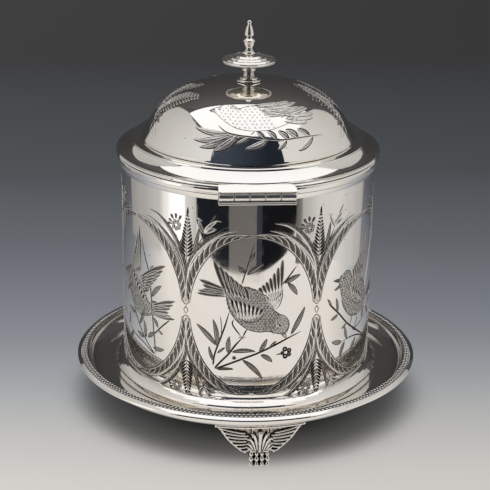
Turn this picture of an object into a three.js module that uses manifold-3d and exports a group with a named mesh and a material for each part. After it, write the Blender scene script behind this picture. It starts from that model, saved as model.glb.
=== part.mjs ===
// Silver-plated biscuit barrel: an engraved drum on a round tray with three paw feet,
// and a domed lid with a turned finial that swings on a five-knuckle hinge.
// Millimetres, +Z up, the table at z = 0, the hinge towards -Y.
import * as THREE from "three";
import { mergeVertices } from "three/addons/utils/BufferGeometryUtils.js";
import Module from "manifold-3d";

const wasm = await Module();
wasm.setup();

// Fits and facets
const clearance = 0.3; // gap between neighbouring pieces
const weldDistance = 1e-4;
const bigFacets = 48; // round the tray, drum and lid
const finialFacets = 20;
const hingeFacets = 16;
const castFacets = 8; // round the lobes and toes of a foot
const castBands = 5;

// Tray
const traySheet = 1.2;
const trayApron = 12.5; // flat floor that shows round the drum
const trayWellDepth = 7.3; // from the floor up to the ledge
const trayCoveWidth = 6.9;
const trayLedgeWidth = 2.8;
const borderWidth = 2.5; // rolled wire round the outer edge
const borderHeight = 3;
const borderDrop = 1.9; // the wire reaches this far below the ledge
const beadRowWidth = 1.9;
const beadRowHeight = 1;
const beadRowInset = 0.05; // from the ledge's outer edge

// Drum
const drumRadius = 65;
const drumSheet = 1.2;
const drumHeight = 116.85;
const drumFootSpread = 4.3; // how far the base moulding stands out
const drumFootHeight = 4.2;
const drumFootFillet = 1.1;
const drumFootHollow = 0.35; // share of the spread left at that share of the height
const drumRimWidth = 2.3;
const drumRimHeight = 4.5;
const drumRimGroove = 0.4;

// Lid
const lidSheet = 0.9;
const lidRimLap = 0.4; // the lid stands this far over the drum's moulding
const lidRimWidth = 1.9;
const lidRimHeight = 2.2;
const flangeEdgeInset = 0.3;
const flangeEdgeHeight = 0.55;
const brimWidth = 7.7; // from the lid's edge in to the step
const stepHeight = 1.3;
const stepBevel = 0.6;
const flangeRise = 5.1; // from the sheet's edge up to the top of the step
const flangeBulge = 0.9;
const bezelFit = 0.5; // running gap between the bezel and the drum mouth
const bezelDepth = 5.2; // how far it drops into the drum
const domeShelf = 4.9; // level top of the step, outside the dome
const domeSheet = 1;
const domeHeight = 28.2;
const domeFlankRun = 9.2; // the flank leans in this much
const domeFlankRise = 15.5; // over this height
const domeShoulder = 15.1; // the level crown starts this far in from the foot
const domeSteps = 9;

// Finial, held by a stud with a washer and a nut inside the dome
const studRadius = 1.1;
const studTail = 1;
const washerRadius = 4.5;
const washerThickness = 0.8;
const nutAcrossFlats = 7;
const nutHeight = 2.6;
const stemHeight = 6.4;
const stemFootRadius = 5.9;
const stemStepRadius = 4.05;
const stemNeckRadius = 2.7;
const stemCollarRadius = 3.6;
const discRadius = 13.7;
const discDepth = 3.6; // bowl below the edge
const bowlRadiusShare = 0.62; // where the bowl turns from steep to shallow
const bowlDepthShare = 0.35;
const discCrown = 2.4; // stepped top above the edge
const discEdge = 0.7;
const discSteps = 3;
const discStepRun = 3.1;
const spireSocket = 1.4; // depth of the threaded hole in the spire
const spireHeight = 17.2;
const spireFootRadius = 2.6;
const spireWaistRadius = 1.7;
const spireRingRadius = 3.05;
const spireNeckRadius = 1.55;
const spireTipNeckRadius = 0.8;
const spireBallRadius = 1.15;

// Hinge
const hingeAxisDrop = 1.85; // pin below the top of the drum
const hingeLength = 37.3;
const knuckleCount = 5;
const knuckleRadius = 2.2;
const pinRadius = 0.95;
const lidLeafRun = 5.6; // depth of its sloping top
const lidLeafRise = 3.3; // height of its back edge above the lid's lower edge
const lidLeafNoseRise = 0.9;
const bodyLeafNose = 1;
const bodyLeafLip = 2.3; // shows this far below the knuckles
const bodyLeafBevel = 0.6;
const leafRootDepth = 7; // raw depth of a leaf behind the drum's outside, before it is cut to fit

// Feet
const footHeight = 26.1;
const footCount = 3;
const footTurnDegrees = 2; // the front foot stands this far round from the hinge
const soleInset = 6; // from the edge of the tray's flat floor
const soleDepth = 9;
const pawWidth = 11.2;
const pawHeight = 8.2;
const padHeight = 5;
const toeCount = 4;
const toeFullness = 0.56; // half width of a toe, as a share of the pitch of the toes
const toeDepth = 1.9;
const toeSetBack = 0.4; // toe centres behind the front of the sole
const toeJointSetBack = 0.9;
const legWidth = 8;
const legTopDepth = 8.6;
const barHalfSpan = 23;
const barHeight = 2.1;
const barOverhang = 0.5; // past the tray's flat floor
const barDepth = 2.8;
const wingTopHalfSpan = 20;
const wingFootHalfSpan = 9.2;
const wingThickness = 1.8;
const wingTopInset = 0.9;
const wingFootInset = 5.9;
const lobeCount = 5;
const lobeSpreadDegrees = 26;
const lobeLength = 13.5;
const lobeWidth = 2.9;
const lobeDepth = 1.5;
const lobeShortening = 0.004; // share of its length lost with each degree of lean
const fanRise = 0.6; // root of the fan above the paw

// Places that follow from the sizes above
const trayFloorRadius = drumRadius + trayApron;
const ledgeOuter = trayFloorRadius + trayCoveWidth + trayLedgeWidth;
const trayRadius = ledgeOuter + clearance + borderWidth;
const beadRowRadius = ledgeOuter - beadRowInset - beadRowWidth / 2;
const lidRimRadius = drumRadius + drumRimWidth + lidRimLap;
const stepRadius = lidRimRadius - brimWidth;
const domeRadius = stepRadius - domeShelf;
const hingeAxisRadius = drumRadius + drumRimWidth + clearance + knuckleRadius;
const soleFront = trayFloorRadius - soleInset;
const barFront = trayFloorRadius + barOverhang;
const wingTopFront = trayFloorRadius - wingTopInset;
const wingFootFront = trayFloorRadius - wingFootInset;
const trayBottom = footHeight + clearance;
const trayFloor = trayBottom + traySheet;
const trayLedge = trayFloor + trayWellDepth;
const drumBase = trayFloor + clearance;
const drumTop = drumBase + drumHeight;
const lidBase = drumTop + clearance;
const flangeBase = lidBase + lidRimHeight + clearance;
const flangeTop = flangeBase + flangeEdgeHeight + flangeRise;
const domeBase = flangeTop + clearance;
const domeTop = domeBase + domeHeight;
const stemBase = domeTop + clearance;
const discBase = stemBase + stemHeight + clearance;
const discRim = discBase + discDepth;
const discTop = discRim + discEdge + discCrown;
const spireBase = discTop + clearance;
const hingeHeight = drumTop - hingeAxisDrop;
const studBore = studRadius + clearance;

const silver = new THREE.MeshStandardMaterial({ color: 0xd9d6d0, roughness: 0.12, metalness: 1 });
const wornSilver = new THREE.MeshStandardMaterial({ color: 0xc9c4ba, roughness: 0.3, metalness: 1 });
const steel = new THREE.MeshStandardMaterial({ color: 0x9a9a98, roughness: 0.35, metalness: 1 });

// Merges shared corners and drops the faces that collapse on the axis of a turned piece
function weld(geometry) {
  const loose = geometry.index ? geometry.toNonIndexed() : geometry.clone();
  loose.deleteAttribute("normal");
  loose.deleteAttribute("uv");
  const merged = mergeVertices(loose, weldDistance);
  const corners = merged.index.array;
  const faces = [];
  for (let i = 0; i < corners.length; i += 3) {
    const [a, b, c] = corners.subarray(i, i + 3);
    if (a !== b && b !== c && c !== a) faces.push(a, b, c);
  }
  merged.setIndex(faces);
  return merged;
}

function toSolid(geometry) {
  const welded = weld(geometry);
  const vertProperties = new Float32Array(welded.attributes.position.array);
  const triVerts = new Uint32Array(welded.index.array);
  return new wasm.Manifold(new wasm.Mesh({ numProp: 3, vertProperties, triVerts }));
}

function toGeometry(solid) {
  const mesh = solid.getMesh();
  const geometry = new THREE.BufferGeometry();
  geometry.setAttribute("position", new THREE.BufferAttribute(mesh.vertProperties, 3));
  geometry.setIndex(new THREE.BufferAttribute(mesh.triVerts, 1));
  return geometry;
}

// Turns a closed outline of [radius, height] points about the Z axis
function turned(outline, facets = bigFacets) {
  const points = outline.map(([radius, height]) => new THREE.Vector2(radius, height));
  if (THREE.ShapeUtils.area(points) < 0) points.reverse();
  points.push(points[0].clone());
  return weld(new THREE.LatheGeometry(points, facets).rotateX(Math.PI / 2));
}

function shapeOf(outline) {
  return new THREE.Shape(outline.map(([a, b]) => new THREE.Vector2(a, b)));
}

// Pushes a [y, z] section along X, centred on x = 0
function alongX(section, length) {
  const bar = new THREE.ExtrudeGeometry(shapeOf(section), { depth: length, bevelEnabled: false });
  bar.translate(0, 0, -length / 2);
  const axes = new THREE.Matrix4().makeBasis(
    new THREE.Vector3(0, 1, 0),
    new THREE.Vector3(0, 0, 1),
    new THREE.Vector3(1, 0, 0),
  );
  return bar.applyMatrix4(axes);
}

// Pushes an [x, z] outline from the barrel's axis out towards -Y
function towardsFront(outline, reach) {
  const slab = new THREE.ExtrudeGeometry(shapeOf(outline), { depth: reach, bevelEnabled: false });
  return slab.rotateX(Math.PI / 2);
}

// Points of a quarter ellipse round a centre, from its bottom to its outer side
function coveArc(centre, halfWidth, halfHeight, steps, endAngle = 0) {
  const points = [];
  for (let i = 0; i <= steps; i += 1) {
    const angle = -Math.PI / 2 + ((endAngle + Math.PI / 2) * i) / steps;
    points.push([centre[0] + halfWidth * Math.cos(angle), centre[1] + halfHeight * Math.sin(angle)]);
  }
  return points;
}

function bezierPoints(start, pullStart, pullEnd, end, steps) {
  const corners = [start, pullStart, pullEnd, end].map(([a, b]) => new THREE.Vector2(a, b));
  return new THREE.CubicBezierCurve(...corners).getPoints(steps).map((p) => [p.x, p.y]);
}

function ringOutline(inner, outer, low, high) {
  return [[inner, low], [outer, low], [outer, high], [inner, high]];
}

const barrel = new THREE.Group();

function add(name, geometry, material = silver) {
  const mesh = new THREE.Mesh(geometry, material);
  mesh.name = name;
  barrel.add(mesh);
  return mesh;
}

// The tray's sheet: flat floor, hollow cove, and a ledge that carries the border
function traySheetGeometry() {
  const coveSteps = 4;
  const centre = [trayFloorRadius, trayLedge];
  const underEnd = -Math.asin(traySheet / (trayWellDepth + traySheet));
  const upper = coveArc(centre, trayCoveWidth, trayWellDepth, coveSteps);
  const under = coveArc(
    centre,
    trayCoveWidth + traySheet,
    trayWellDepth + traySheet,
    coveSteps,
    underEnd,
  );
  return turned([
    [0, trayBottom],
    ...under,
    [ledgeOuter, trayLedge - traySheet],
    [ledgeOuter, trayLedge],
    ...upper.reverse(),
    [0, trayFloor],
  ]);
}

// The rolled wire round the tray's edge
function trayBorderGeometry() {
  const sides = 10;
  const middle = trayLedge - borderDrop + borderHeight / 2;
  const outline = [];
  for (let i = 0; i < sides; i += 1) {
    const angle = (2 * Math.PI * i) / sides;
    const radius = trayRadius - borderWidth / 2 + (borderWidth / 2) * Math.cos(angle);
    outline.push([radius, middle + (borderHeight / 2) * Math.sin(angle)]);
  }
  return turned(outline);
}

function beadRowGeometry() {
  const low = trayLedge + clearance;
  const half = beadRowWidth / 2;
  return turned([
    [beadRowRadius - half, low],
    [beadRowRadius + half, low],
    [beadRowRadius + half / 2, low + beadRowHeight],
    [beadRowRadius - half / 2, low + beadRowHeight],
  ]);
}

function drumFootGeometry() {
  const inner = drumRadius + clearance;
  const outer = drumRadius + drumFootSpread;
  const shoulder = drumBase + drumFootFillet;
  const hollow = drumFootHollow;
  return turned([
    [inner, drumBase],
    [outer, drumBase],
    [outer, shoulder],
    [inner + drumFootSpread * hollow, shoulder + (drumFootHeight - drumFootFillet) * hollow],
    [inner + clearance, drumBase + drumFootHeight],
    [inner, drumBase + drumFootHeight],
  ]);
}

function drumRimGeometry() {
  const inner = drumRadius + clearance;
  const outer = drumRadius + drumRimWidth;
  const low = drumTop - drumRimHeight;
  const middle = (low + drumTop) / 2;
  return turned([
    [inner, low],
    [outer - drumRimGroove, low],
    [outer, low + drumRimHeight / 4],
    [outer - drumRimGroove, middle],
    [outer, drumTop - drumRimHeight / 4],
    [outer - drumRimGroove, drumTop],
    [inner, drumTop],
  ]);
}

// Sloping brim of the lid with the stepped moulding that carries the dome
function flangeGeometry() {
  const edge = lidRimRadius - flangeEdgeInset;
  const edgeTop = flangeBase + flangeEdgeHeight;
  const stepFoot = flangeTop - stepHeight;
  const middle = [(edge + stepRadius) / 2, (edgeTop + stepFoot) / 2];
  const seat = domeRadius - domeSheet - clearance;
  return turned([
    [edge, flangeBase],
    [edge, edgeTop],
    [middle[0] + flangeBulge / 2, middle[1] + flangeBulge],
    [stepRadius, stepFoot],
    [stepRadius, flangeTop - stepBevel],
    [stepRadius - stepBevel, flangeTop],
    [seat, flangeTop],
    [seat, flangeTop - lidSheet],
    [stepRadius - lidSheet, flangeTop - lidSheet],
    [stepRadius - lidSheet, stepFoot - lidSheet / 2],
    [middle[0], middle[1] + flangeBulge - lidSheet],
    [edge - lidSheet, flangeBase],
  ]);
}

function bezelGeometry() {
  const outer = drumRadius - drumSheet - bezelFit;
  const inner = outer - lidSheet;
  const lipTop = lidBase + lidRimHeight;
  const lipOuter = lidRimRadius - lidRimWidth - clearance;
  return turned([
    [inner, drumTop - bezelDepth],
    [outer, drumTop - bezelDepth],
    [outer, lipTop - lidSheet],
    [lipOuter, lipTop - lidSheet],
    [lipOuter, lipTop],
    [inner, lipTop],
  ]);
}

// The dome: a leaning flank that rounds over to a level crown, with a hole for the stud
function domeOutline(inset) {
  const rim = domeRadius - inset;
  const crown = domeTop - inset;
  return bezierPoints(
    [rim, domeBase],
    [rim - domeFlankRun, domeBase + domeFlankRise - inset / 2],
    [domeRadius - domeShoulder - inset / 2, crown],
    [studBore, crown],
    domeSteps,
  );
}

// Outer profile of the stem, from the foot on the dome up to the collar under the disc
function stemGeometry() {
  const at = (share) => stemBase + stemHeight * share;
  return turned([
    [studBore, stemBase],
    [stemFootRadius, stemBase],
    [stemFootRadius, at(0.09)],
    [stemStepRadius + clearance, at(0.12)],
    [stemStepRadius, at(0.2)],
    [stemNeckRadius, at(0.5)],
    [stemNeckRadius, at(0.68)],
    [stemCollarRadius, at(0.86)],
    [stemCollarRadius, at(1)],
    [studBore, at(1)],
  ], finialFacets);
}

// Shallow bowl below, stepped rings above
function discGeometry() {
  const lip = discRim + discEdge;
  const outline = [
    [studBore, discBase],
    [stemCollarRadius, discBase],
    [discRadius * bowlRadiusShare, discBase + discDepth * bowlDepthShare],
    [discRadius - discEdge, discRim - discEdge / 2],
    [discRadius, discRim + discEdge / 2],
    [discRadius - discEdge / 2, lip],
  ];
  const rise = discCrown / discSteps;
  for (let i = 0; i < discSteps; i += 1) {
    const radius = discRadius - discEdge - discStepRun * (i + 0.5);
    outline.push([radius, lip + rise * i], [radius, lip + rise * (i + 1)]);
  }
  outline.push([studBore, discTop]);
  return turned(outline, finialFacets);
}

function spireGeometry() {
  const at = (share) => spireBase + spireHeight * share;
  const socketTop = spireBase + spireSocket;
  return turned([
    [studBore, spireBase],
    [spireFootRadius, spireBase],
    [spireFootRadius, at(0.04)],
    [spireWaistRadius, at(0.2)],
    [spireWaistRadius, at(0.27)],
    [spireRingRadius, at(0.4)],
    [spireRingRadius * 0.94, at(0.45)],
    [spireNeckRadius, at(0.51)],
    [spireFootRadius, at(0.6)],
    [spireFootRadius * 0.8, at(0.73)],
    [spireTipNeckRadius, at(0.87)],
    [spireBallRadius, at(0.94)],
    [spireBallRadius * 0.6, at(0.985)],
    [0, at(1)],
    [0, socketTop],
    [studBore, socketTop],
  ], finialFacets);
}

function nutGeometry(top) {
  const corner = nutAcrossFlats / Math.sqrt(3);
  const hexagon = Array.from({ length: 6 }, (_, i) => {
    const angle = (Math.PI * i) / 3;
    return [corner * Math.cos(angle), corner * Math.sin(angle)];
  });
  const shape = shapeOf(hexagon);
  const hole = new THREE.Path();
  hole.absarc(0, 0, studBore, 0, 2 * Math.PI, true);
  shape.holes.push(hole);
  const nut = new THREE.ExtrudeGeometry(shape, {
    depth: nutHeight,
    bevelEnabled: false,
    curveSegments: castFacets,
  });
  return weld(nut.translate(0, 0, top - nutHeight));
}

// A length of tube or rod on the hinge's axis
function onHingeAxis(outline, facets) {
  const piece = turned(outline, facets).rotateY(Math.PI / 2);
  return piece.translate(0, -hingeAxisRadius, hingeHeight);
}

function knuckleGeometry(start, length) {
  const bore = pinRadius + clearance;
  return onHingeAxis(ringOutline(bore, knuckleRadius, start, start + length), hingeFacets);
}

function hingeChannel() {
  const reach = knuckleRadius + clearance;
  const rod = [[0, -hingeLength], [reach, -hingeLength], [reach, hingeLength], [0, hingeLength]];
  return toSolid(onHingeAxis(rod, hingeFacets));
}

// Upper leaf: a sloping cover that hugs the lid's edge above the knuckles
function lidLeafGeometry() {
  const noseY = -hingeAxisRadius - knuckleRadius;
  const backY = noseY + lidLeafRun;
  const section = [
    [noseY, lidBase],
    [-drumRadius + leafRootDepth, lidBase],
    [-drumRadius + leafRootDepth, lidBase + lidLeafRise],
    [backY, lidBase + lidLeafRise],
    [noseY, lidBase + lidLeafNoseRise],
  ];
  const edge = lidRimRadius + clearance;
  const brimFall = flangeRise - stepHeight;
  const lidEnvelope = turned([
    [0, lidBase - clearance],
    [edge, lidBase - clearance],
    [edge, flangeBase + flangeEdgeHeight],
    [edge - brimFall, flangeBase + flangeEdgeHeight + brimFall],
    [0, flangeTop + lidLeafRise],
  ]);
  const leaf = toSolid(alongX(section, hingeLength));
  return toGeometry(leaf.subtract(toSolid(lidEnvelope)).subtract(hingeChannel()));
}

// Lower leaf: a block behind and below the knuckles that hugs the drum and its rim moulding
function bodyLeafGeometry() {
  const noseY = -hingeAxisRadius - bodyLeafNose;
  const low = hingeHeight - knuckleRadius - bodyLeafLip;
  const section = [
    [noseY + bodyLeafBevel, low],
    [-drumRadius + leafRootDepth, low],
    [-drumRadius + leafRootDepth, drumTop],
    [noseY, drumTop],
    [noseY, low + bodyLeafBevel],
  ];
  const wall = drumRadius + clearance;
  const rim = drumRadius + drumRimWidth + clearance;
  const shelf = drumTop - drumRimHeight - clearance;
  const drumEnvelope = turned([
    [0, low - clearance],
    [wall, low - clearance],
    [wall, shelf],
    [rim, shelf],
    [rim, drumTop + clearance],
    [0, drumTop + clearance],
  ]);
  const leaf = toSolid(alongX(section, hingeLength));
  return toGeometry(leaf.subtract(toSolid(drumEnvelope)).subtract(hingeChannel()));
}

// A rounded lump of a casting, given by its centre, half sizes and lean in the front plane
function lump(centre, halfSizes, leanDegrees = 0) {
  const ball = new THREE.SphereGeometry(1, castFacets, castBands).rotateX(Math.PI / 2);
  ball.scale(...halfSizes);
  ball.rotateY(THREE.MathUtils.degToRad(leanDegrees));
  return toSolid(ball.translate(...centre));
}

// One casting: a top bar, two ribbed wings, a fan of lobes and a paw with four toes
function footGeometry() {
  const wingFoot = pawHeight;
  const barLow = footHeight - barHeight;
  const wingOutline = [
    [-wingFootHalfSpan, wingFoot],
    [wingFootHalfSpan, wingFoot],
    [wingTopHalfSpan, barLow + clearance],
    [-wingTopHalfSpan, barLow + clearance],
  ];
  const wingSheet = turned([
    [wingFootFront - wingThickness, wingFoot - clearance],
    [wingFootFront, wingFoot - clearance],
    [wingTopFront, footHeight],
    [wingTopFront - wingThickness, footHeight],
  ]);
  const barOutline = ringOutline(-barHalfSpan, barHalfSpan, barLow, footHeight);
  const barRing = turned(ringOutline(barFront - barDepth, barFront, barLow, footHeight));
  const legSection = [
    [-soleFront + 1, padHeight - clearance],
    [-soleFront + soleDepth - 1, padHeight - clearance],
    [-wingTopFront + legTopDepth, footHeight - barHeight],
    [-wingTopFront + legTopDepth, footHeight],
    [-wingTopFront + clearance, footHeight],
    [-wingTopFront + clearance, footHeight - barHeight],
  ].reverse();
  const padSection = [
    [-soleFront, 0],
    [-soleFront + soleDepth, 0],
    [-soleFront + soleDepth, padHeight],
    [-soleFront, padHeight],
  ];
  const toePitch = pawWidth / toeCount;
  const toeHalf = toePitch * toeFullness;
  const toeSize = [toeHalf, toeDepth, padHeight / 2];
  const jointSize = [toeHalf, toeDepth, (pawHeight - padHeight) / 2 + clearance];

  let foot = toSolid(towardsFront(wingOutline, trayRadius)).intersect(toSolid(wingSheet));
  foot = foot.add(toSolid(towardsFront(barOutline, trayRadius)).intersect(toSolid(barRing)));
  foot = foot.add(toSolid(alongX(legSection, legWidth)));
  foot = foot.add(toSolid(alongX(padSection, pawWidth - toePitch / 2)));
  for (let i = 0; i < toeCount; i += 1) {
    const x = (i - (toeCount - 1) / 2) * toePitch;
    const jointHeight = (pawHeight + padHeight) / 2 - clearance;
    foot = foot.add(lump([x, -soleFront + toeSetBack, padHeight / 2], toeSize));
    foot = foot.add(lump([x, -soleFront + toeJointSetBack, jointHeight], jointSize));
  }
  const fanFoot = pawHeight + fanRise;
  const slope = (wingTopFront - wingFootFront) / (footHeight - wingFoot);
  for (let i = 0; i < lobeCount; i += 1) {
    const lean = (i - (lobeCount - 1) / 2) * lobeSpreadDegrees;
    const length = lobeLength * (1 - lobeShortening * Math.abs(lean));
    const reach = THREE.MathUtils.degToRad(lean);
    const x = (Math.sin(reach) * length) / 2;
    const z = fanFoot + (Math.cos(reach) * length) / 2;
    const front = wingFootFront + slope * (z - wingFoot);
    foot = foot.add(lump([x, -front, z], [lobeWidth / 2, lobeDepth, length / 2], lean));
  }
  const underTable = towardsFront(ringOutline(-barHalfSpan, barHalfSpan, -footHeight, 0), trayRadius);
  return toGeometry(foot.subtract(toSolid(underTable)));
}

// Tray
add("tray", traySheetGeometry());
add("tray_border_wire", trayBorderGeometry());
add("tray_bead_row", beadRowGeometry());

// Drum
add("drum_wall", turned(ringOutline(drumRadius - drumSheet, drumRadius, drumBase, drumTop)));
add("drum_floor", turned([
  [0, drumBase],
  [drumRadius - drumSheet - clearance, drumBase],
  [drumRadius - drumSheet - clearance, drumBase + drumSheet],
  [0, drumBase + drumSheet],
]));
add("drum_foot_moulding", drumFootGeometry());
add("drum_rim_moulding", drumRimGeometry());

// Lid
add("lid_rim_wire", turned(ringOutline(
  lidRimRadius - lidRimWidth,
  lidRimRadius,
  lidBase,
  lidBase + lidRimHeight,
)));
add("lid_flange", flangeGeometry());
add("lid_bezel", bezelGeometry());
add("lid_dome", turned([...domeOutline(0), ...domeOutline(domeSheet).reverse()]));

// Finial and what holds it
const washerTop = domeTop - domeSheet - clearance;
const nutTop = washerTop - washerThickness - clearance;
add("finial_stem", stemGeometry());
add("finial_disc", discGeometry());
add("finial_spire", spireGeometry());
add("finial_stud", turned([
  [0, nutTop - nutHeight - studTail],
  [studRadius, nutTop - nutHeight - studTail],
  [studRadius, spireBase + spireSocket - clearance],
  [0, spireBase + spireSocket - clearance],
], finialFacets), steel);
add("finial_washer", turned(
  ringOutline(studBore, washerRadius, washerTop - washerThickness, washerTop),
  finialFacets,
), steel);
add("finial_nut", nutGeometry(nutTop), steel);

// Hinge
add("hinge_lid_leaf", lidLeafGeometry());
add("hinge_drum_leaf", bodyLeafGeometry());
const knucklePitch = hingeLength / knuckleCount;
for (let i = 0; i < knuckleCount; i += 1) {
  const start = -hingeLength / 2 + knucklePitch * i + clearance / 2;
  add(`hinge_knuckle_${i + 1}`, knuckleGeometry(start, knucklePitch - clearance));
}
add("hinge_pin", onHingeAxis([
  [0, -hingeLength / 2],
  [pinRadius, -hingeLength / 2],
  [pinRadius, hingeLength / 2],
  [0, hingeLength / 2],
], hingeFacets), steel);

// Feet, the first one below the hinge
const foot = footGeometry();
for (let i = 0; i < footCount; i += 1) {
  const mesh = add(`foot_${i + 1}`, foot, wornSilver);
  mesh.rotation.z = THREE.MathUtils.degToRad(footTurnDegrees + (360 / footCount) * i);
}

export default barrel;
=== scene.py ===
import random
from math import atan2, cos, log, pi, radians, sin, sqrt, tan

import bmesh
import bpy
import numpy
from mathutils import Matrix, Vector


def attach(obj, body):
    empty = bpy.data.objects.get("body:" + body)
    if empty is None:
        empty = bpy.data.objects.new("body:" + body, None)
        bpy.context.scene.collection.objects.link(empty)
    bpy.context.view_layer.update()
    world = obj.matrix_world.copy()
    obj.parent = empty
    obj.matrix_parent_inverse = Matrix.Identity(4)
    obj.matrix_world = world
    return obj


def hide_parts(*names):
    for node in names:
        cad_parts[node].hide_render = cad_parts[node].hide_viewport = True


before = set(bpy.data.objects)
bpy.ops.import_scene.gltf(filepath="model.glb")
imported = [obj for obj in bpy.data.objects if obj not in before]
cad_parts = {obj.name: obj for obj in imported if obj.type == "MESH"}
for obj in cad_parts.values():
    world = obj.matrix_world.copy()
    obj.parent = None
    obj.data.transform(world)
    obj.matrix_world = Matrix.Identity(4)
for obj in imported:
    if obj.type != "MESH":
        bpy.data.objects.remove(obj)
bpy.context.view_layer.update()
mm = 0.001


# Camera: fitted to the round edges of the barrel, in degrees and millimetres
camera = {
    "distance": 802.3, "height": 385.9, "side": -4.0, "down": 20.06, "turn": -0.07, "roll": -0.65,
    "lens": 119.3,
}


def newObject(name, data):
    obj = bpy.data.objects.new(name, data)
    bpy.context.scene.collection.objects.link(obj)
    return obj


def addCamera():
    side, down = radians(camera["side"]), radians(camera["down"])
    ahead = Vector((-sin(side), cos(side), 0))
    right = Vector((cos(side), sin(side), 0))
    turn = radians(camera["turn"])
    level = ahead * cos(turn) + right * sin(turn)
    right = Vector((level.y, -level.x, 0))
    forward = level * cos(down) - Vector((0, 0, sin(down)))
    up = right.cross(forward)
    c, s = cos(radians(camera["roll"])), sin(radians(camera["roll"]))
    right, up = c * right - s * up, s * right + c * up
    data = bpy.data.cameras.new("camera")
    data.sensor_width = 36
    data.lens = camera["lens"]
    data.clip_start = 0.01
    data.clip_end = 20
    obj = newObject("camera", data)
    place = Matrix((right, up, -forward)).transposed().to_4x4()
    place.translation = Vector((
        camera["distance"] * mm * sin(side),
        -camera["distance"] * mm * cos(side),
        camera["height"] * mm,
    ))
    obj.matrix_world = place
    bpy.context.scene.camera = obj


addCamera()
print("camera set")


# Small tools for node trees and meshes
def fillNode(tree, node, inputs):
    for key, value in inputs.items():
        socket = node.inputs[key]
        if isinstance(value, bpy.types.NodeSocket):
            tree.links.new(value, socket)
        else:
            socket.default_value = value
    return node


def addNode(tree, kind, inputs=None, **settings):
    node = tree.nodes.new(kind)
    for key, value in settings.items():
        setattr(node, key, value)
    return fillNode(tree, node, inputs or {})


def addMath(tree, operation, *values):
    return addNode(tree, "ShaderNodeMath", dict(enumerate(values)), operation=operation).outputs[0]


def ramp(tree, source, stops, kind="EASE"):
    node = addNode(tree, "ShaderNodeValToRGB", {"Fac": source})
    node.color_ramp.interpolation = kind
    stones = node.color_ramp.elements
    while len(stones) < len(stops):
        stones.new(0.5)
    for stone, (place, colour) in zip(stones, stops):
        stone.position = place
        stone.color = (*colour, 1) if isinstance(colour, tuple) else (colour, colour, colour, 1)
    return node.outputs["Color"]


def mapRange(tree, value, low, high, start=0.0, end=1.0):
    return addNode(tree, "ShaderNodeMapRange", {
        "Value": value, "From Min": low, "From Max": high, "To Min": start, "To Max": end,
    }).outputs["Result"]


def mixColour(tree, share, first, second, kind="MIX"):
    return addNode(tree, "ShaderNodeMix", {"Factor": share, 6: first, 7: second}, data_type="RGBA",
                   blend_type=kind).outputs[2]


def noise(tree, place, scale, detail, roughness=0.5):
    return addNode(tree, "ShaderNodeTexNoise", {
        "Vector": place, "Scale": scale, "Detail": detail, "Roughness": roughness,
    }).outputs["Fac"]


def attribute(tree, name):
    return addNode(tree, "ShaderNodeAttribute", attribute_name=name).outputs["Fac"]


def objectPlace(tree):
    return addNode(tree, "ShaderNodeTexCoord").outputs["Object"]


def newMaterial(name):
    material = bpy.data.materials.new(name)
    material.use_nodes = True
    tree = material.node_tree
    return material, tree, tree.nodes["Principled BSDF"]


def meshPiece(name, vertices, faces, body, material, smooth=True):
    mesh = bpy.data.meshes.new(name)
    mesh.from_pydata([Vector(v) * mm for v in vertices], [], faces)
    mesh.validate()
    mesh.materials.append(material)
    mesh.polygons.foreach_set("use_smooth", [smooth] * len(mesh.polygons))
    mesh.update()
    obj = newObject(name, mesh)
    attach(obj, body)
    return obj


def setAttribute(mesh, name, values):
    mesh.attributes.new(name, "FLOAT", "POINT").data.foreach_set("value", values)


def gather(vertices, faces, moreVertices, moreFaces):
    # Adds another mesh's corners and faces to the two lists
    first = len(vertices)
    vertices += [tuple(v) for v in moreVertices]
    faces += [[first + i for i in face] for face in moreFaces]


def softOutline(corners, support=0.12, arcSteps=3):
    # Each corner is (radius, height, bend). A bend of 0 keeps the point as it is.
    points = []
    for i, (r, z, bend) in enumerate(corners):
        here = Vector((r, z))
        if bend == 0:
            points.append(here)
            continue
        before = Vector(corners[i - 1][:2]) - here
        after = Vector(corners[(i + 1) % len(corners)][:2]) - here
        reach = min(bend / tan(before.angle(after) / 2), before.length * 0.45, after.length * 0.45)
        start = here + before.normalized() * reach
        end = here + after.normalized() * reach
        points.append(start + before.normalized() * min(support, (before.length - reach) * 0.3))
        for k in range(arcSteps + 1):
            t = k / arcSteps
            points.append(start * (1 - t) ** 2 + here * 2 * t * (1 - t) + end * t * t)
        points.append(end + after.normalized() * min(support, (after.length - reach) * 0.3))
    return points


def anticlockwise(outline):
    points = [Vector(p[:2]) for p in outline]
    if sum(a.x * b.y - b.x * a.y for a, b in zip(points, points[1:] + points[:1])) < 0:
        points.reverse()
    return points


def turnedMesh(outline, sides=240):
    # Turns a closed outline of (radius, height) points about the Z axis, faces outwards
    points = anticlockwise(outline)
    vertices, rings = [], []
    for p in points:
        if p.x < 1e-6:
            rings.append([len(vertices)] * sides)
            vertices.append((0, 0, p.y))
            continue
        rings.append(list(range(len(vertices), len(vertices) + sides)))
        for k in range(sides):
            turn = 2 * pi * k / sides
            vertices.append((p.x * cos(turn), p.x * sin(turn), p.y))
    faces = []
    for low, high in zip(rings, rings[1:] + rings[:1]):
        if low[0] == low[1] and high[0] == high[1]:
            continue
        for k in range(sides):
            n = (k + 1) % sides
            corners = [low[k], low[n], high[n], high[k]]
            faces.append(list(dict.fromkeys(corners)))
    return vertices, faces


def turnedPiece(name, corners, body, material, nodes, sides=240, slot="silver_plate", **soft):
    outline = softOutline(corners, **soft)
    vertices, faces = turnedMesh(outline, sides)
    obj = meshPiece(name, vertices, faces, body, material)
    markRecess(obj, outline)
    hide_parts(*nodes)
    return obj


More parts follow.
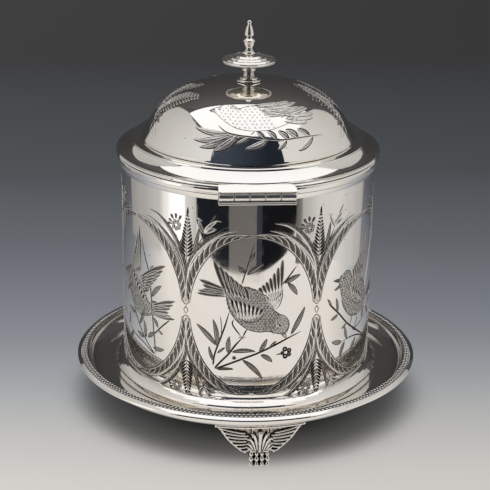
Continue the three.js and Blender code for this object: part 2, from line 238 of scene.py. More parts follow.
def markRecess(obj, outline):
    # Inner corners of the outline get tarnish and painted shade: attribute "recess", by the turn at each point
    points = anticlockwise(outline)
    turns = []
    for i, p in enumerate(points):
        before, after = p - points[i - 1], points[(i + 1) % len(points)] - p
        turn = atan2(before.x * after.y - before.y * after.x, before.dot(after))
        turns.append(min(1, max(0, -turn / 0.9)))
    around = [max(t, 0.45 * turns[i - 1], 0.45 * turns[(i + 1) % len(turns)]) for i, t in enumerate(turns)]
    known = {(round(p.x, 3), round(p.y, 3)): t for p, t in zip(points, around)}
    values = []
    for v in obj.data.vertices:
        place = (round(sqrt(v.co.x ** 2 + v.co.y ** 2) / mm, 3), round(v.co.z / mm, 3))
        values.append(known.get(place, 0.0))
    setAttribute(obj.data, "recess", values)


# Geometry Nodes: trees with named inputs that are run on a mesh and give a plain mesh
def nodesTree(name, inputs):
    tree = bpy.data.node_groups.new(name, "GeometryNodeTree")
    for label, kind in inputs:
        tree.interface.new_socket(name=label, in_out="INPUT", socket_type="NodeSocket" + kind)
    tree.interface.new_socket(name="Geometry", in_out="OUTPUT", socket_type="NodeSocketGeometry")
    return tree, tree.nodes.new("NodeGroupInput").outputs


def endTree(tree, made, material):
    whole = addNode(tree, "GeometryNodeRealizeInstances", {"Geometry": made})
    finish = addNode(tree, "GeometryNodeSetMaterial", {"Geometry": whole.outputs[0], "Material": material})
    addNode(tree, "NodeGroupOutput", {"Geometry": finish.outputs[0]})
    return tree


def socketId(tree, name):
    return next(s.identifier for s in tree.interface.items_tree if s.item_type == "SOCKET" and s.name == name)


def nodesMesh(tree, mesh, settings):
    obj = newObject("working", mesh)
    modifier = obj.modifiers.new("nodes", "NODES")
    modifier.node_group = tree
    for name, value in settings.items():
        modifier[socketId(tree, name)] = value
    graph = bpy.context.evaluated_depsgraph_get()
    result = bpy.data.meshes.new_from_object(obj.evaluated_get(graph))
    obj.modifiers.remove(modifier)
    bpy.data.objects.remove(obj)
    return result


# Materials
def wearGroup():
    # Hairline scratches, cloudy wiping marks and small tarnish specks, as masks
    tree = bpy.data.node_groups.new("silver wear", "ShaderNodeTree")
    tree.interface.new_socket(name="Place", in_out="INPUT", socket_type="NodeSocketVector")
    for name in ("Scratch", "Cloud", "Speck"):
        tree.interface.new_socket(name=name, in_out="OUTPUT", socket_type="NodeSocketFloat")
    place = tree.nodes.new("NodeGroupInput").outputs["Place"]
    hairs = []
    for turn, stretch in (((0.3, 0.5, 0.4), (900, 26, 26)), ((1.2, -0.6, 1.1), (700, 18, 18)),
                          ((-0.5, 0.2, 2.2), (1100, 34, 34))):
        mapped = addNode(tree, "ShaderNodeMapping", {"Vector": place, "Rotation": turn, "Scale": stretch})
        streak = noise(tree, mapped.outputs[0], 1.0, 1.0)
        near = addMath(tree, "ABSOLUTE", addMath(tree, "SUBTRACT", streak, 0.5))
        hairs.append(mapRange(tree, near, 0.0, 0.014, 1.0, 0.0))
    some = addMath(tree, "MAXIMUM", addMath(tree, "MAXIMUM", hairs[0], hairs[1]), hairs[2])
    shown = ramp(tree, noise(tree, place, 120.0, 2.0), [(0.5, 0.0), (0.66, 1.0)], "LINEAR")
    cloud = noise(tree, place, 34.0, 5.0, 0.62)
    cells = addNode(tree, "ShaderNodeTexVoronoi", {"Vector": place, "Scale": 330.0})
    dot = mapRange(tree, cells.outputs["Distance"], 0.08, 0.2, 1.0, 0.0)
    picked = addNode(tree, "ShaderNodeSeparateColor", {"Color": cells.outputs["Color"]}).outputs[0]
    chosen = addMath(tree, "GREATER_THAN", picked, 0.96)
    addNode(tree, "NodeGroupOutput", {
        "Scratch": addMath(tree, "MULTIPLY", some, shown),
        "Cloud": ramp(tree, cloud, [(0.42, 0.0), (0.7, 1.0)]),
        "Speck": addMath(tree, "MULTIPLY", dot, chosen),
    })
    return tree


silverWear = wearGroup()


def silverMaterial(name, colour, roughness, wobble, dark=(0.11, 0.088, 0.066), wear=1.0, metal=1.0):
    material, tree, shader = newMaterial(name)
    place = objectPlace(tree)
    worn = addNode(tree, "ShaderNodeGroup", {"Place": place}, node_tree=silverWear).outputs
    bump = addNode(tree, "ShaderNodeBump", {
        "Strength": 1.0, "Distance": wobble * mm, "Height": noise(tree, place, 38.0, 1.0),
    })
    spots = addMath(tree, "MULTIPLY", worn["Speck"], 0.5 * wear)
    # Tarnish specks, and from the recess attribute tarnish and painted shade in inner corners, darken and
    # roughen the silver
    stainAndShade = addMath(tree, "MINIMUM", addMath(tree, "ADD", attribute(tree, "recess"), spots), 0.92)
    warm = (colour[0] * 0.97, colour[1] * 0.93, colour[2] * 0.84, 1)
    cloudy = addMath(tree, "MULTIPLY", worn["Cloud"], 0.45 * wear)
    clean = mixColour(tree, cloudy, (*colour, 1), warm)
    tone = mixColour(tree, stainAndShade, clean, (*dark, 1))
    haze = addMath(tree, "MULTIPLY_ADD", worn["Cloud"], 0.055 * wear, roughness)
    rough = addMath(tree, "MULTIPLY_ADD", worn["Scratch"], 0.16 * wear, haze)
    rougher = addMath(tree, "MULTIPLY_ADD", stainAndShade, 0.3, rough)
    fillNode(tree, shader, {
        "Metallic": metal, "Base Color": tone, "Roughness": rougher, "Normal": bump.outputs["Normal"],
    })
    return material


silver = silverMaterial("silver", (0.97, 0.945, 0.915), 0.03, 0.08)
finialSilver = silverMaterial("finial silver", (0.975, 0.935, 0.87), 0.07, 0.06, metal=0.9)
beadSilver = silverMaterial("bead silver", (0.99, 0.975, 0.95), 0.2, 0.0, wear=0.0)
hingeSilver = silverMaterial("hinge silver", (0.985, 0.955, 0.91), 0.3, 0.1, wear=0.2)
innerSilver = silverMaterial("inner silver", (0.8, 0.77, 0.72), 0.25, 0.1)
brass = silverMaterial("fixing brass", (0.66, 0.58, 0.44), 0.3, 0.05)


def castSilverMaterial():
    material, tree, shader = newMaterial("cast silver")
    grain = noise(tree, objectPlace(tree), 900.0, 3.0)
    patchy = addMath(tree, "MULTIPLY_ADD", grain, 0.16, -0.08)
    # Deeper hollows darken to brown and then near black: painted shade
    deep = addMath(tree, "ADD", attribute(tree, "hollow"), patchy)
    colour = ramp(tree, deep, [(0.0, (0.98, 0.95, 0.91)), (0.42, (0.9, 0.86, 0.8)), (0.52, (0.3, 0.26, 0.22)),
                               (0.64, (0.03, 0.025, 0.02))], "LINEAR")
    gloss = ramp(tree, deep, [(0.0, 0.1), (0.5, 0.18), (0.7, 0.6)], "LINEAR")
    bump = addNode(tree, "ShaderNodeBump", {"Height": grain, "Strength": 0.12, "Distance": 0.2 * mm})
    fillNode(tree, shader, {
        "Base Color": colour, "Roughness": gloss, "Normal": bump.outputs["Normal"], "Metallic": 0.96,
    })
    return material


castSilver = castSilverMaterial()
# Dark grey silver for the ring under the beads: painted shade between them
beadGapShade = silverMaterial("bead bed with painted shade", (0.3, 0.285, 0.27), 0.5, 0.1, metal=0.5)


def engravedMaterials():
    cutter, tree, shader = newMaterial("cut silver")
    depth = attribute(tree, "cut")
    colour = ramp(tree, depth, [(0.0, (0.93, 0.9, 0.86)), (0.4, (0.4, 0.36, 0.32)),
                                (0.8, (0.07, 0.058, 0.05)), (1.0, (0.035, 0.028, 0.024))], "LINEAR")
    gloss = ramp(tree, depth, [(0.0, 0.16), (1.0, 0.6)], "LINEAR")
    fillNode(tree, shader, {"Base Color": colour, "Roughness": gloss, "Metallic": 0.95})
    matt, tree, shader = newMaterial("matt silver")
    spread = addMath(tree, "MULTIPLY_ADD", noise(tree, objectPlace(tree), 1900.0, 2.0), 0.7, -0.35)
    mixed = addMath(tree, "ADD", attribute(tree, "tone"), spread)
    colour = ramp(tree, mixed, [(0.0, (0.85, 0.82, 0.78)), (0.5, (0.42, 0.39, 0.35)),
                                (0.85, (0.17, 0.15, 0.13)), (1.0, (0.09, 0.078, 0.066))], "LINEAR")
    fillNode(tree, shader, {"Base Color": colour, "Roughness": 0.4, "Metallic": 0.95})
    return cutter, matt


cutSilver, mattSilver = engravedMaterials()


# Tray: flat floor, hollow cove, ledge, rolled wire
tray = {
    "under": 26.4, "floor": 27.6, "floorRadius": 77.5, "coveWidth": 6.9, "coveDepth": 7.3, "sheet": 1.2,
    "ledge": 34.9, "ledgeRadius": 87.2, "coveSteps": 14,
    "wire": [(87.4, 35.0), (87.5, 35.15), (88.15, 35.7), (88.4, 35.7), (88.85, 35.38), (89.3, 35.04),
             (89.75, 34.68), (89.93, 34.4), (90.0, 34.1), (90.0, 33.75), (89.85, 33.5), (89.5, 33.4),
             (87.6, 33.4)],
}


def makeTray():
    centre = (tray["floorRadius"], tray["ledge"])
    corners = [(0, tray["under"], 0), (60, tray["under"], 0)]
    turnEnd = -atan2(tray["sheet"], tray["coveDepth"] + tray["sheet"]) / (pi / 2)
    for k in range(tray["coveSteps"] + 1):
        turn = -pi / 2 * (1 - k / tray["coveSteps"] * (1 + turnEnd))
        wide, deep = tray["coveWidth"] + tray["sheet"], tray["coveDepth"] + tray["sheet"]
        corners.append((centre[0] + wide * cos(turn), centre[1] + deep * sin(turn), 0))
    corners.append((tray["ledgeRadius"], tray["ledge"] - tray["sheet"], 0.2))
    corners.append((tray["ledgeRadius"], tray["ledge"], 0.2))
    corners.append((centre[0] + tray["coveWidth"], tray["ledge"], 0.35))
    for k in range(1, tray["coveSteps"] + 1):
        turn = -pi / 2 * k / tray["coveSteps"]
        corners.append((
            centre[0] + tray["coveWidth"] * cos(turn), centre[1] + tray["coveDepth"] * sin(turn), 0,
        ))
    corners += [(72, tray["floor"], 0), (40, tray["floor"], 0), (0, tray["floor"], 0)]
    turnedPiece("tray_dish", corners, "barrel", silver, ["tray"])
    wire = [(r, z, 0.04) for r, z in tray["wire"]]
    turnedPiece("tray_rolled_edge", wire, "barrel", silver, ["tray_border_wire"])


makeTray()

# Drum: wall, foot moulding, reeded rim; the wall's engraving is added further down
drum = {
    "radius": 65.0, "sheet": 1.2, "base": 27.9, "top": 144.75,
    "footOuter": 70.0,
    "footCurve": [(70.0, 28.6), (70.0, 31.4), (69.95, 31.75), (69.82, 31.98), (69.45, 32.38), (68.8, 33.0),
                  (67.9, 33.75), (67.1, 34.25), (66.2, 34.7), (65.12, 35.05)],
    "rimLow": 139.2, "rimTop": 145.6,
    "rimCurve": [(65.6, 139.2), (66.0, 139.9), (66.4, 140.9), (66.75, 141.9), (66.5, 142.1), (66.9, 142.3),
                 (67.05, 142.9), (67.25, 143.7), (67.35, 144.4), (67.3, 145.2), (67.0, 145.6)],
}


def makeDrum():
    r, inner = drum["radius"], drum["radius"] - drum["sheet"]
    low, high = drum["base"], drum["top"]
    turnedPiece("drum_shell", [
        (inner, low, 0.2), (r, low, 0.2), (r, 86, 0), (r, high, 0.25), (inner, high, 0.25), (inner, 86, 0),
    ], "barrel", silver, ["drum_wall"], sides=288)
    turnedPiece("drum_base_moulding", [
        (r + 0.1, low, 0.1), (drum["footOuter"], low, 0.2), *[(p, q, 0.05) for p, q in drum["footCurve"]],
    ], "barrel", silver, ["drum_foot_moulding"])
    turnedPiece("drum_reeded_rim", [
        (r + 0.3, drum["rimLow"], 0.1), *[(p, q, 0.1) for p, q in drum["rimCurve"]],
        (r + 0.3, drum["rimTop"], 0.1),
    ], "barrel", silver, ["drum_rim_moulding"])


makeDrum()

# Lid: rim wire, sloping brim with a step, dome
lid = {
    "wire": [(65.8, 145.9), (67.0, 145.95), (67.7, 146.6), (66.9, 147.35), (65.8, 147.35)],
    "brimEdge": 67.4, "brimLow": 147.55, "brimEdgeTop": 148.1, "stepRadius": 60.0, "brimSlopes": (20, 46),
    "stepTop": 153.2, "seat": 53.8, "lip": 1.5, "lipRise": 0.2, "sheet": 0.9,
    "domeRadius": 55.1, "domeBase": 153.5, "domeTop": 181.7, "domeSheet": 1.0,
    "flank": (45.9, 169.0), "shoulder": (40.0, 181.7), "hole": 1.4,
}


def domePoint(t, inset=0.0):
    a = Vector((lid["domeRadius"] - inset, lid["domeBase"]))
    b = Vector((lid["flank"][0] - inset, lid["flank"][1] - inset / 2))
    c = Vector((lid["shoulder"][0] - inset / 2, lid["shoulder"][1] - inset))
    d = Vector((lid["hole"], lid["domeTop"] - inset))
    s = 1 - t
    return a * s ** 3 + b * 3 * s * s * t + c * 3 * s * t * t + d * t ** 3


def makeLid():
    turnedPiece("lid_edge_wire", [(p, q, 0.12) for p, q in lid["wire"]], "lid", silver, ["lid_rim_wire"])
    edge, step, sheet = lid["brimEdge"], lid["stepRadius"], lid["sheet"]
    r, z = edge - lid["lip"], lid["brimEdgeTop"] + lid["lipRise"]
    brim, under = [(r, z, 0.3)], []
    steps, (flat, steep) = 10, lid["brimSlopes"]
    wide = (r - step) / steps
    for k in range(steps):
        r, z = r - wide, z + wide * tan(radians(flat + (steep - flat) * (k + 0.5) / steps))
        brim.append((r, z, 0))
        under.append((r - 0.3, z - sheet, 0))
    brim[-1] = (step, z, 0.12)
    top = lid["stepTop"]
    turnedPiece("lid_brim", [
        (edge, lid["brimLow"], 0.15), (edge, lid["brimEdgeTop"], 0.25), *brim,
        (step, top, 0.5), (lid["seat"], top, 0.15),
        (lid["seat"], top - sheet, 0.15), (step - sheet, top - sheet, 0.2),
        *reversed(under), (edge - sheet, lid["brimLow"], 0.1),
    ], "lid", silver, ["lid_flange"])
    steps = 40
    shell = [(*domePoint(k / steps), 0) for k in range(steps + 1)]
    back = [(*domePoint(1 - k / steps, lid["domeSheet"]), 0) for k in range(steps + 1)]
    turnedPiece("lid_dome_shell", shell + back, "lid", silver, ["lid_dome"])


makeLid()

# Finial: stem, disc and spire
finial = {
    "hole": 1.4, "stemLow": 182.0, "stemHigh": 188.4,
    "discLow": 188.7, "discTop": 195.4, "discRadius": 13.7,
    "ridges": [(13.5, 192.95, 0.1), (13.1, 193.1, 0.15), (12.5, 192.7, 0.15), (11.5, 193.65, 0.15),
               (10.9, 193.8, 0.15), (10.3, 193.2, 0.15), (9.2, 194.4, 0.15), (8.6, 194.6, 0.15),
               (7.6, 193.95, 0.2), (6.3, 195.2, 0.15), (5.5, 195.35, 0.15), (4.5, 194.8, 0.15)],
    "spireLow": 195.7, "spireHigh": 212.9,
}


def makeFinial():
    hole, low, high = finial["hole"], finial["stemLow"], finial["stemHigh"]
    turnedPiece("finial_stem_turned", [
        (hole, low, 0), (6.2, low, 0.1), (6.25, low + 0.5, 0.15), (5.9, low + 0.75, 0.1),
        (4.6, low + 0.85, 0.1), (4.75, low + 1.1, 0.15), (4.7, low + 1.6, 0.15), (4.2, low + 1.85, 0.15),
        (3.4, low + 2.2, 0), (2.95, low + 2.8, 0), (2.75, low + 3.6, 0), (2.8, low + 4.4, 0),
        (3.0, low + 4.9, 0), (3.55, low + 5.3, 0.15), (3.6, high - 0.4, 0.25), (3.3, high, 0.15),
        (hole, high, 0),
    ], "lid", finialSilver, ["finial_stem"], sides=72)
    low, top = finial["discLow"], finial["discTop"]
    turnedPiece("finial_disc_turned", [
        (hole, low, 0), (3.6, low, 0.2), (5.6, low + 0.4, 0), (8.5, low + 1.25, 0), (11.0, low + 2.3, 0),
        (12.6, low + 3.2, 0.1), (13.4, low + 3.4, 0.1), (finial["discRadius"], low + 3.8, 0.2),
        *finial["ridges"], (3.4, top - 0.2, 0.1), (hole, top, 0),
    ], "lid", finialSilver, ["finial_disc"], sides=144)
    low, high = finial["spireLow"], finial["spireHigh"]
    turnedPiece("finial_spire_turned", [
        (0, low, 0), (2.6, low, 0.15), (2.6, low + 1.2, 0.2), (2.2, low + 1.7, 0), (1.9, low + 2.4, 0),
        (1.85, low + 3.0, 0), (1.95, low + 3.7, 0), (2.2, low + 4.4, 0), (2.6, low + 5.2, 0),
        (2.95, low + 6.2, 0), (3.1, low + 6.6, 0.06), (2.8, low + 7.2, 0), (2.1, low + 7.9, 0),
        (1.45, low + 8.45, 0.1), (1.7, low + 8.95, 0), (2.3, low + 9.45, 0.1), (2.4, low + 9.85, 0.1),
        (2.2, low + 11.0, 0), (1.95, low + 12.3, 0), (1.6, low + 13.5, 0), (1.2, low + 14.4, 0),
        (0.85, low + 15.1, 0.08), (1.02, low + 15.5, 0), (1.15, low + 16.0, 0), (1.12, low + 16.4, 0),
        (0.9, low + 16.85, 0), (0.5, low + 17.12, 0), (0, high, 0),
    ], "lid", finialSilver, ["finial_spire"], sides=64)


makeFinial()
print("shells turned")

# Small bosses in a ring: the beaded wire of the tray and the edge of the finial's disc
beads = {
    "tray": [(250, 86.6, 35.42, 0.0, (0.58, 0.68, 0.34)), (250, 85.46, 35.9, 0.5, (0.58, 0.68, 0.34))],
    "trayWires": [(84.82, 35.25, 0.22), (87.08, 34.98, 0.14)],
    # Ring under the beads, dark grey: painted shade in the gaps
    "bed": [(85.0, 35.0, 0.05), (86.95, 35.0, 0.05), (86.95, 35.05, 0.02), (85.0, 35.6, 0.05)],
    "disc": [(84, 12.72, 191.82, 0.0, (0.62, 0.4, 0.42))],
}


def beadRingTree():
    tree, given = nodesTree("ring of beads", (
        ("Base", "Geometry"), ("Count", "Int"), ("Radius", "Float"), ("Height", "Float"),
        ("Turn", "Float"), ("Size", "Vector"), ("Finish", "Material"),
    ))
    row = addNode(tree, "GeometryNodeMeshCircle", {"Vertices": given["Count"], "Radius": given["Radius"]})
    place = addNode(tree, "GeometryNodeInputPosition").outputs[0]
    facing = addNode(tree, "FunctionNodeAlignRotationToVector", {"Vector": place}, axis="X")
    bead = addNode(tree, "GeometryNodeMeshIcoSphere", {"Radius": 1.0, "Subdivisions": 2})
    sown = addNode(tree, "GeometryNodeInstanceOnPoints", {
        "Points": row.outputs[0], "Instance": bead.outputs[0], "Rotation": facing.outputs[0],
        "Scale": given["Size"],
    })
    lift = addNode(tree, "ShaderNodeCombineXYZ", {"Z": given["Height"]})
    spin = addNode(tree, "ShaderNodeCombineXYZ", {"Z": given["Turn"]})
    moved = addNode(tree, "GeometryNodeTransform", {
        "Geometry": sown.outputs[0], "Translation": lift.outputs[0], "Rotation": spin.outputs[0],
    })
    return endTree(tree, moved.outputs[0], given["Finish"])


beadsTree = beadRingTree()


def beadRings(rings, material):
    vertices, faces = [], []
    for count, radius, height, turn, size in rings:
        mesh = nodesMesh(beadsTree, bpy.data.meshes.new("start"), {
            "Count": count, "Radius": radius, "Height": height, "Turn": 2 * pi * turn / count,
            "Size": size, "Finish": material,
        })
        gather(vertices, faces, [v.co for v in mesh.vertices], [face.vertices for face in mesh.polygons])
    return vertices, faces


def makeBeads():
    vertices, faces = beadRings(beads["tray"], silver)
    for radius, height, half in beads["trayWires"]:
        section = [(radius + half * cos(pi * k / 3), height + half * sin(pi * k / 3)) for k in range(6)]
        gather(vertices, faces, *turnedMesh(section))
    row = meshPiece("tray_beaded_wire", vertices, faces, "barrel", beadSilver)
    # Dark ring under the beads: painted shade between them
    bed = turnedPiece("tray_bead_bed", beads["bed"], "barrel", beadGapShade, [])
    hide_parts("tray_bead_row")
    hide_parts("tray_bead_row")
    vertices, faces = beadRings(beads["disc"], silver)
    meshPiece("finial_disc_beads", vertices, faces, "lid", beadSilver)


makeBeads()
print("beads set")

# Castings: simple closed lumps and rods, fused into one skin
casting = {"voxel": 0.27, "smoothing": 2, "smoothShare": 0.55, "reach": 7, "reachShare": 0.6, "contrast": 7.0}


def lump(centre, size, lean=0.0, sides=14, rings=8):
    vertices = [(0, 0, 1)]
    for i in range(1, rings):
        turn = pi * i / rings
        vertices += [(sin(turn) * cos(2 * pi * k / sides), sin(turn) * sin(2 * pi * k / sides), cos(turn))
                     for k in range(sides)]
    vertices.append((0, 0, -1))
    faces = [[0, 1 + k, 1 + (k + 1) % sides] for k in range(sides)]
    for i in range(rings - 2):
        a, b = 1 + i * sides, 1 + (i + 1) * sides
        faces += [[a + k, b + k, b + (k + 1) % sides, a + (k + 1) % sides] for k in range(sides)]
    last = len(vertices) - 1
    faces += [[last, last - sides + (k + 1) % sides, last - sides + k] for k in range(sides)]
    turned = Matrix.Rotation(radians(lean), 3, "Y")
    shaped = [Vector((x * size[0], y * size[1], z * size[2])) for x, y, z in vertices]
    return [turned @ p + Vector(centre) for p in shaped], faces


def loft(sections):
    # Closed solid through loops of the same number of points
    count = len(sections[0])
    vertices = [Vector(p) for section in sections for p in section]
    faces = [list(range(count))[::-1], list(range(len(vertices) - count, len(vertices)))]
    for i in range(len(sections) - 1):
        a, b = i * count, (i + 1) * count
        faces += [[a + k, a + (k + 1) % count, b + (k + 1) % count, b + k] for k in range(count)]
    return vertices, faces


def rod(line, sizes, sides=10):
    # Rod with rounded ends along a line in the wing's face: sizes are (half width, half depth)
    sections = []
    for k, p in enumerate(line):
        ahead = (line[min(k + 1, len(line) - 1)] - line[max(k - 1, 0)]).normalized()
        outward = Vector((p.x, p.y, 0)).normalized()
        across = ahead.cross(outward).normalized()
        outward = across.cross(ahead)
        wide, deep = sizes[k]
        turns = [2 * pi * j / sides for j in range(sides)]
        sections.append([p + across * wide * cos(turn) + outward * deep * sin(turn) for turn in turns])
    ends = []
    for k, sign in ((0, -1), (len(line) - 1, 1)):
        ahead = (line[min(k + 1, len(line) - 1)] - line[max(k - 1, 0)]).normalized()
        ends.append([line[k] + (q - line[k]) * 0.5 + ahead * sign * sizes[k][0] * 0.8 for q in sections[k]])
    return loft([ends[0], *sections, ends[1]])


def relaxed(points, edges, share):
    total, count = numpy.zeros_like(points), numpy.zeros(len(points))
    for a, b in ((0, 1), (1, 0)):
        numpy.add.at(total, edges[:, a], points[edges[:, b]])
        numpy.add.at(count, edges[:, a], 1)
    return points + (total / numpy.maximum(count, 1)[:, None] - points) * share


def fused(parts):
    # One skin over all the parts, with the hollows measured for painted shade
    vertices, faces = [], []
    for part in parts:
        gather(vertices, faces, *part)
    mesh = bpy.data.meshes.new("parts")
    mesh.from_pydata(vertices, [], faces)
    obj = newObject("parts", mesh)
    skin = obj.modifiers.new("skin", "REMESH")
    skin.mode = "VOXEL"
    skin.voxel_size = casting["voxel"]
    graph = bpy.context.evaluated_depsgraph_get()
    result = bpy.data.meshes.new_from_object(obj.evaluated_get(graph))
    obj.modifiers.remove(skin)
    bpy.data.objects.remove(obj)
    points = numpy.array([tuple(v.co) for v in result.vertices])
    edges = numpy.array([tuple(e.vertices) for e in result.edges])
    for _ in range(casting["smoothing"]):
        points = relaxed(points, edges, casting["smoothShare"])
    result.vertices.foreach_set("co", points.ravel())
    result.update()
    normals = numpy.array([tuple(n.vector) for n in result.vertex_normals])
    soft = points
    for _ in range(casting["reach"]):
        soft = relaxed(soft, edges, casting["reachShare"])
    hollow = numpy.clip(0.5 + ((soft - points) * normals).sum(axis=1) * casting["contrast"], 0, 1)
    return points, [list(face.vertices) for face in result.polygons], hollow


# Feet, in millimetres with the front at -Y: a bar, ribbed wings, a fan of leaves and a paw
foot = {
    "turns": (2, 122, 242), "reach": 69.31, "lean": 0.2793, "ribSag": -0.35,
    "wing": [(24.3, 21.0), (23.4, 20.8), (21.1, 19.0), (18.9, 17.8), (16.7, 16.5), (13.5, 13.8), (11.6, 11.8),
             (9.4, 9.6), (8.0, 7.2)],
    "ribs": [((20.6, 23.0), (7.6, 20.2), 0.5), ((18.8, 20.3), (6.0, 18.6), 0.56),
             ((16.6, 17.7), (6.4, 17.0), 0.56), ((14.5, 15.3), (6.8, 15.2), 0.54),
             ((12.4, 13.0), (6.8, 13.4), 0.5), ((10.4, 10.8), (6.2, 11.6), 0.46),
             ((8.1, 8.9), (5.2, 9.7), 0.42)],
    "middleLobe": [(0, 8.8, 0.8, 0.3), (0, 12, 0.8, 0.5), (0, 16, 0.9, 0.8), (0, 19.4, 1.15, 1.0),
                   (0, 21.0, 1.3, 1.0)],
    "lobes": [
        [(1.0, 9.0, 0.5, 0.2), (1.5, 13, 0.7, 0.4), (2.3, 17, 0.78, 0.7), (3.2, 19.6, 0.8, 0.8),
         (4.2, 20.2, 0.6, 0.7)],
        [(1.9, 9.0, 0.45, 0.2), (2.9, 12.6, 0.65, 0.4), (4.1, 15.6, 0.7, 0.6), (5.3, 17.2, 0.68, 0.6),
         (6.1, 16.8, 0.5, 0.5)],
        [(2.7, 9.0, 0.4, 0.2), (3.9, 11.4, 0.6, 0.4), (5.1, 13.4, 0.62, 0.5), (6.0, 13.9, 0.5, 0.4)],
        [(3.4, 8.7, 0.4, 0.2), (4.6, 10.2, 0.55, 0.3), (5.6, 11.0, 0.45, 0.3)],
    ],
    "bars": [(24.0, 25.35, 77.7), (25.3, 26.1, 78.0)], "barBack": 75.3, "barTurn": 17.0, "barSteps": 24,
    "leg": [(3.5, 4.0, 63.2, 70.2), (9.0, 4.0, 64.4, 70.6), (16.0, 4.0, 66.4, 72.8), (24.6, 4.0, 68.2, 75.5)],
    "pad": [(0.0, 4.9, 62.8, 70.6), (0.5, 5.2, 62.5, 70.7), (4.2, 5.2, 62.5, 70.4), (4.8, 4.8, 62.9, 70.2)],
    "toes": (-4.2, -1.4, 1.4, 4.2),
    "toeLumps": [(0.96, 70.7, 6.95, (1.2, 1.7, 1.3)), (1, 71.0, 4.35, (1.27, 1.75, 1.6)),
                 (1, 70.9, 1.6, (1.1, 1.75, 1.55)), (1, 72.0, 1.0, (0.5, 0.9, 0.85))],
}


def onWing(x, z, out):
    # The wing's face leans outwards as it rises
    r = foot["reach"] + foot["lean"] * z + out
    return Vector((x, -sqrt(r * r - x * x), z))


def footParts():
    parts = []
    sheet = []
    for z, half in foot["wing"]:
        count = 16
        front = [onWing(half * (2 * k / count - 1), z, -1.0) for k in range(count + 1)]
        back = [onWing(half * (1 - 2 * k / count), z, -1.9) for k in range(count + 1)]
        sheet.append(front + back)
    parts.append(loft(sheet))
    for side in (-1, 1):
        for (x, z), (innerX, innerZ), half in foot["ribs"]:
            line, steps = [], 8
            for k in range(steps + 1):
                t = k / steps
                sag = foot["ribSag"] * 4 * t * (1 - t)
                line.append(onWing(side * (x + (innerX - x) * t), z + (innerZ - z) * t + sag, -0.3))
            parts.append(rod(line, [(half, half * 1.15)] * len(line)))
        edge = [onWing(side * (half - 0.2), z, -0.35) for z, half in foot["wing"][1:]]
        parts.append(rod(edge, [(0.5, 0.75)] * len(edge)))
        for lobe in foot["lobes"]:
            line = [onWing(side * x, z, out - 0.1) for x, z, wide, out in lobe]
            parts.append(rod(line, [(wide, wide * 1.25) for x, z, wide, out in lobe]))
            x, z, wide, out = lobe[-1]
            parts.append(lump(onWing(side * x, z, out + 0.05), (0.62, 0.7, 0.62)))
        parts.append(lump(onWing(side * 3.0, 8.9, -0.1), (2.2, 0.9, 0.8)))
    line = [onWing(x, z, out) for x, z, wide, out in foot["middleLobe"]]
    parts.append(rod(line, [(wide, wide * 1.1) for x, z, wide, out in foot["middleLobe"]]))
    back, steps = foot["barBack"], foot["barSteps"]
    for low, high, front in foot["bars"]:
        section = ((back, low), (front - 0.35, low), (front, low + 0.35), (front, high - 0.2),
                   (front - 0.2, high), (back, high))
        bar = []
        for k in range(steps + 1):
            turn = radians(foot["barTurn"] * (1 - 2 * k / steps))
            bar.append([(r * sin(turn), -r * cos(turn), z) for r, z in section])
        parts.append(loft(bar))
    # Each section of the leg and of its pad is (height, half width, back, front)
    for block in (foot["leg"], foot["pad"]):
        parts.append(loft([[(-half, -near, z), (-half, -far, z), (half, -far, z), (half, -near, z)]
                           for z, half, near, far in block]))
    for x in foot["toes"]:
        for spread, away, z, size in foot["toeLumps"]:
            parts.append(lump((x * spread, -away, z), size))
    return parts


def makeFeet():
    points, faces, hollow = fused(footParts())
    points[:, 2] = numpy.maximum(points[:, 2], 0)
    for number, degrees in enumerate(foot["turns"]):
        turn = Matrix.Rotation(radians(degrees), 3, "Z")
        obj = meshPiece(f"cast_foot_{number + 1}", [turn @ Vector(p) for p in points], faces,
                        "barrel", castSilver)
        setAttribute(obj.data, "hollow", hollow)
        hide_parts(f"foot_{number + 1}")
    print("feet cast", len(faces), "faces each")


makeFeet()

# Hinge: leaves with softened edges, five turned knuckles, two reeds under them
hinge = {
    "height": 142.9, "away": 69.8, "length": 37.3, "knuckle": 2.2, "gap": 0.3, "bore": 1.25,
    "lidWire": 66.6, "cutStart": 16.7, "cutSlope": 1.9,
    "wall": 64.4, "leafTop": 144.4, "leafLow": 138.9, "cup": 2.32, "cupStart": 28, "cupSweep": 138,
    "cupSteps": 9,
}


def hingeLeaf(name, sectionAt, body, node, columns=24):
    # Lofted across the hinge: sectionAt(x) gives the outline as (y, z) points
    half = hinge["length"] / 2
    rim, between = 0.2, [half * (2 * k / columns - 1) for k in range(1, columns)]
    places = [-half, rim - half, *between, half - rim, half]
    sections = []
    for x in places:
        outline = sectionAt(x)
        if abs(x) == half:
            middle = sum((Vector(p) for p in outline), Vector((0, 0))) / len(outline)
            outline = [Vector(p) + (middle - Vector(p)).normalized() * 0.14 for p in outline]
        sections.append([(x, p[0], p[1]) for p in outline])
    vertices, faces = loft(sections)
    work = bmesh.new()
    for v in vertices:
        work.verts.new(v)
    work.verts.ensure_lookup_table()
    for face in faces:
        work.faces.new([work.verts[i] for i in face])
    bmesh.ops.triangulate(work, faces=[f for f in work.faces if len(f.verts) > 4])
    bmesh.ops.recalc_face_normals(work, faces=work.faces)
    mesh = bpy.data.meshes.new(name)
    work.to_mesh(mesh)
    work.free()
    obj = meshPiece(name, [v.co for v in mesh.vertices], [list(f.vertices) for f in mesh.polygons], body,
                    hingeSilver)
    obj.data.set_sharp_from_angle(angle=radians(40))
    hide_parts(node)
    return obj


